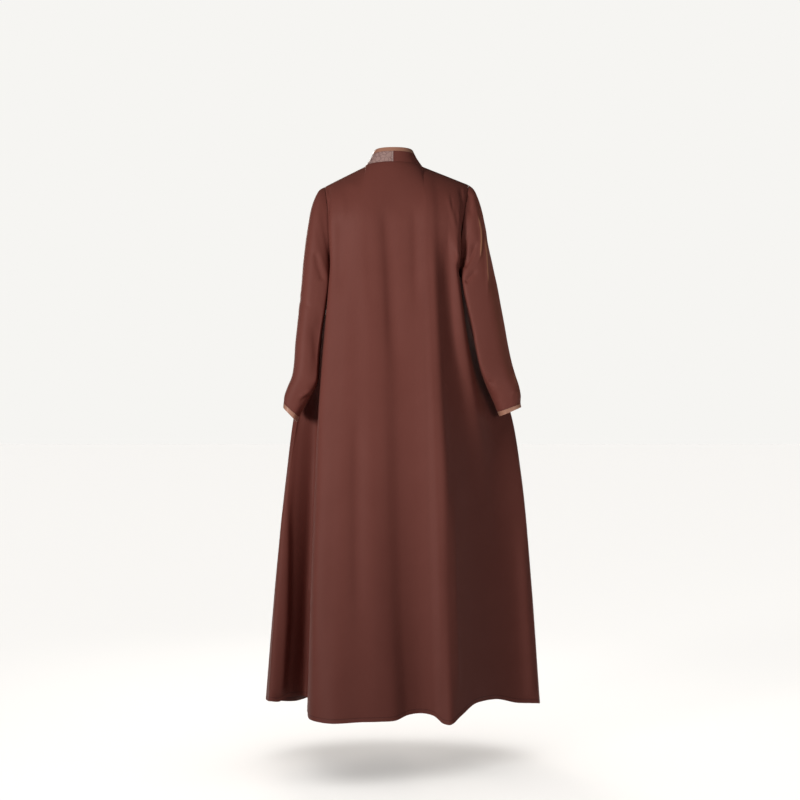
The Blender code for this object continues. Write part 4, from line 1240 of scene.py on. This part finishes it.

# %% [markdown]
# ## Tie the pieces to the frame
#
# The imported garment is one rigid body held at the shoulders, so every piece rides on its root. Each piece of
# cloth takes the place of its CAD wall, which is hidden. The stitches take the place of none.

# %% Frame
SLOTS = {name: "satin" if "binding" in name else "crepe" for name in pieces}
SLOTS["left_band"] = "jacquard"
for name, slot in SLOTS.items():
    piece = pieces[name]
    piece.name = f"{name}_cloth"
    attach(piece, "root")
    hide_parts("back_panel" if name == "back" else name)
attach(stitches, "root")
print(len(SLOTS), "pieces and the stitches ride on the root")

# %% [markdown]
# Each piece was cut flat before it was sewn. When its sheet is made, the sheet prints its size laid out along
# its rows and columns, width and length, and its area. On the garment, the back and the fronts hang from the
# shoulders, and the rest hangs from them.

# %% [markdown]
# ## Studio
#
# The photo was taken from behind, level, from a few metres away, so that upright lines stay upright. The
# camera stands 4.2 m off at about half the garment's height, with a lens that fills the picture as there.

# %% Camera
CAMERA_PLACE = (0.00765, -4.2, -0.593)
camera_data = bpy.data.cameras.new("photo_camera")
camera_data.lens = 74.1
camera_data.sensor_width = 36
camera = put_in_scene("photo_camera", camera_data)
camera.location = CAMERA_PLACE
camera.rotation_euler = (np.pi / 2, 0, 0)
bpy.context.scene.camera = camera
print("camera:", camera_data.lens, "mm lens at", CAMERA_PLACE)

# %% [markdown]
# The floor is plain and pale, and it sends no light back onto the cloth. Behind it the camera sees an even
# off-white, while the cloth gets only a faint light from there, so that the lights alone draw its folds.

# %% Floor and backdrop
FLOOR = -1.51
FLOOR_HALF = 30
floor_mesh = bpy.data.meshes.new("floor")
floor_corners = [(x * FLOOR_HALF, y * FLOOR_HALF, FLOOR) for x, y in ((-1, -1), (1, -1), (1, 1), (-1, 1))]
floor_mesh.from_pydata(floor_corners, [], [(0, 1, 2, 3)])
floor_material, tree, shader = new_material("pale_floor", roughness=0.9)
shader.inputs["Base Color"].default_value = linear("#e9e7e4")
floor_mesh.materials.append(floor_material)
floor = put_in_scene("floor", floor_mesh)
floor.visible_diffuse = False
floor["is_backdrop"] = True

world = bpy.data.worlds.new("studio")
world.use_nodes = True
sky = world.node_tree
dim = sky.nodes["Background"]
dim.inputs["Color"].default_value = linear("#fffdfa")
dim.inputs["Strength"].default_value = 0.08
pale = add_node(sky, "ShaderNodeBackground", values={"Color": linear("#f6f5f2"), "Strength": 1.0})
seen = add_node(sky, "ShaderNodeLightPath")
both = add_node(
    sky,
    "ShaderNodeMixShader",
    {0: seen.outputs["Is Camera Ray"], 1: dim.outputs["Background"], 2: pale.outputs["Background"]},
)
sky.links.new(both.outputs["Shader"], sky.nodes["World Output"].inputs["Surface"])
bpy.context.scene.world = world
bpy.context.scene.view_settings.view_transform = "Standard"
print("floor at", FLOOR, "m")

# %% [markdown]
# A large, soft key light stands at the camera's left and a weaker fill at its right. One more lights the
# fronts, for views from there, and a faint warm rim reaches the right sleeve alone. Two suns reach only the
# floor: one casts the soft shadow below the hem, and one, without a shadow, brings the floor close to the
# backdrop.


# %% Lights
def soft_light(name, place, aim, size, watts, colour, spread):
    light = bpy.data.lights.new(name, "AREA")
    light.shape = "RECTANGLE"
    light.size, light.size_y = size
    light.energy = watts
    light.color = linear(colour)[:3]
    light.spread = np.radians(spread)
    made = put_in_scene(name, light)
    made.location = place
    made.rotation_mode = "QUATERNION"
    made.rotation_quaternion = (Vector(aim) - Vector(place)).to_track_quat("-Z", "Y")
    return made


def lights_only(light, name, lit):
    receivers = bpy.data.collections.new(name)
    for piece in lit:
        receivers.objects.link(piece)
    light.light_linking.receiver_collection = receivers


soft_light("key_left", (-2.9, -3.5, -0.3), (0, -0.1, -0.25), (0.9, 1.2), 10.5, "#fff6ef", spread=50)
soft_light("fill_right", (1.4, -4.3, -0.3), (0, -0.1, -0.3), (0.9, 1.2), 3.9, "#fff2e8", spread=60)
front = soft_light("fill_front", (-0.9, 3.6, 0.4), (0, 0.1, -0.55), (1.4, 1.4), 7.5, "#fff4ea", spread=60)
front.visible_camera = False
rim = soft_light("rim_right", (2.4, 0.25, 0.0), (0.25, 0.0, -0.35), (0.3, 0.8), 0.3, "#ffcfa2", spread=35)
lights_only(rim, "lit_by_rim", (pieces["right_sleeve"], pieces["right_cuff_binding"]))
for name, strength, casts_shadow in (("overhead", 1.1, True), ("floor_wash", 2.4, False)):
    sun = bpy.data.lights.new(name, "SUN")
    sun.energy = strength
    sun.angle = np.radians(90)
    sun.use_shadow = casts_shadow
    lights_only(put_in_scene(name, sun), f"lit_by_{name}", (floor,))
print(len(bpy.data.lights), "lights")

# %% [markdown]
# The boxes of the CAD model and of the dressed garment are written down side by side. They differ by the
# relief of the creases and by the thickness of the sheets.

# %% Sizes and finish
visual_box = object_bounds()
for name, (lowest, highest) in (("CAD", cad_box), ("visual", visual_box)):
    print(name, "box in mm:", [round((b - a) * 1000, 1) for a, b in zip(lowest, highest)])
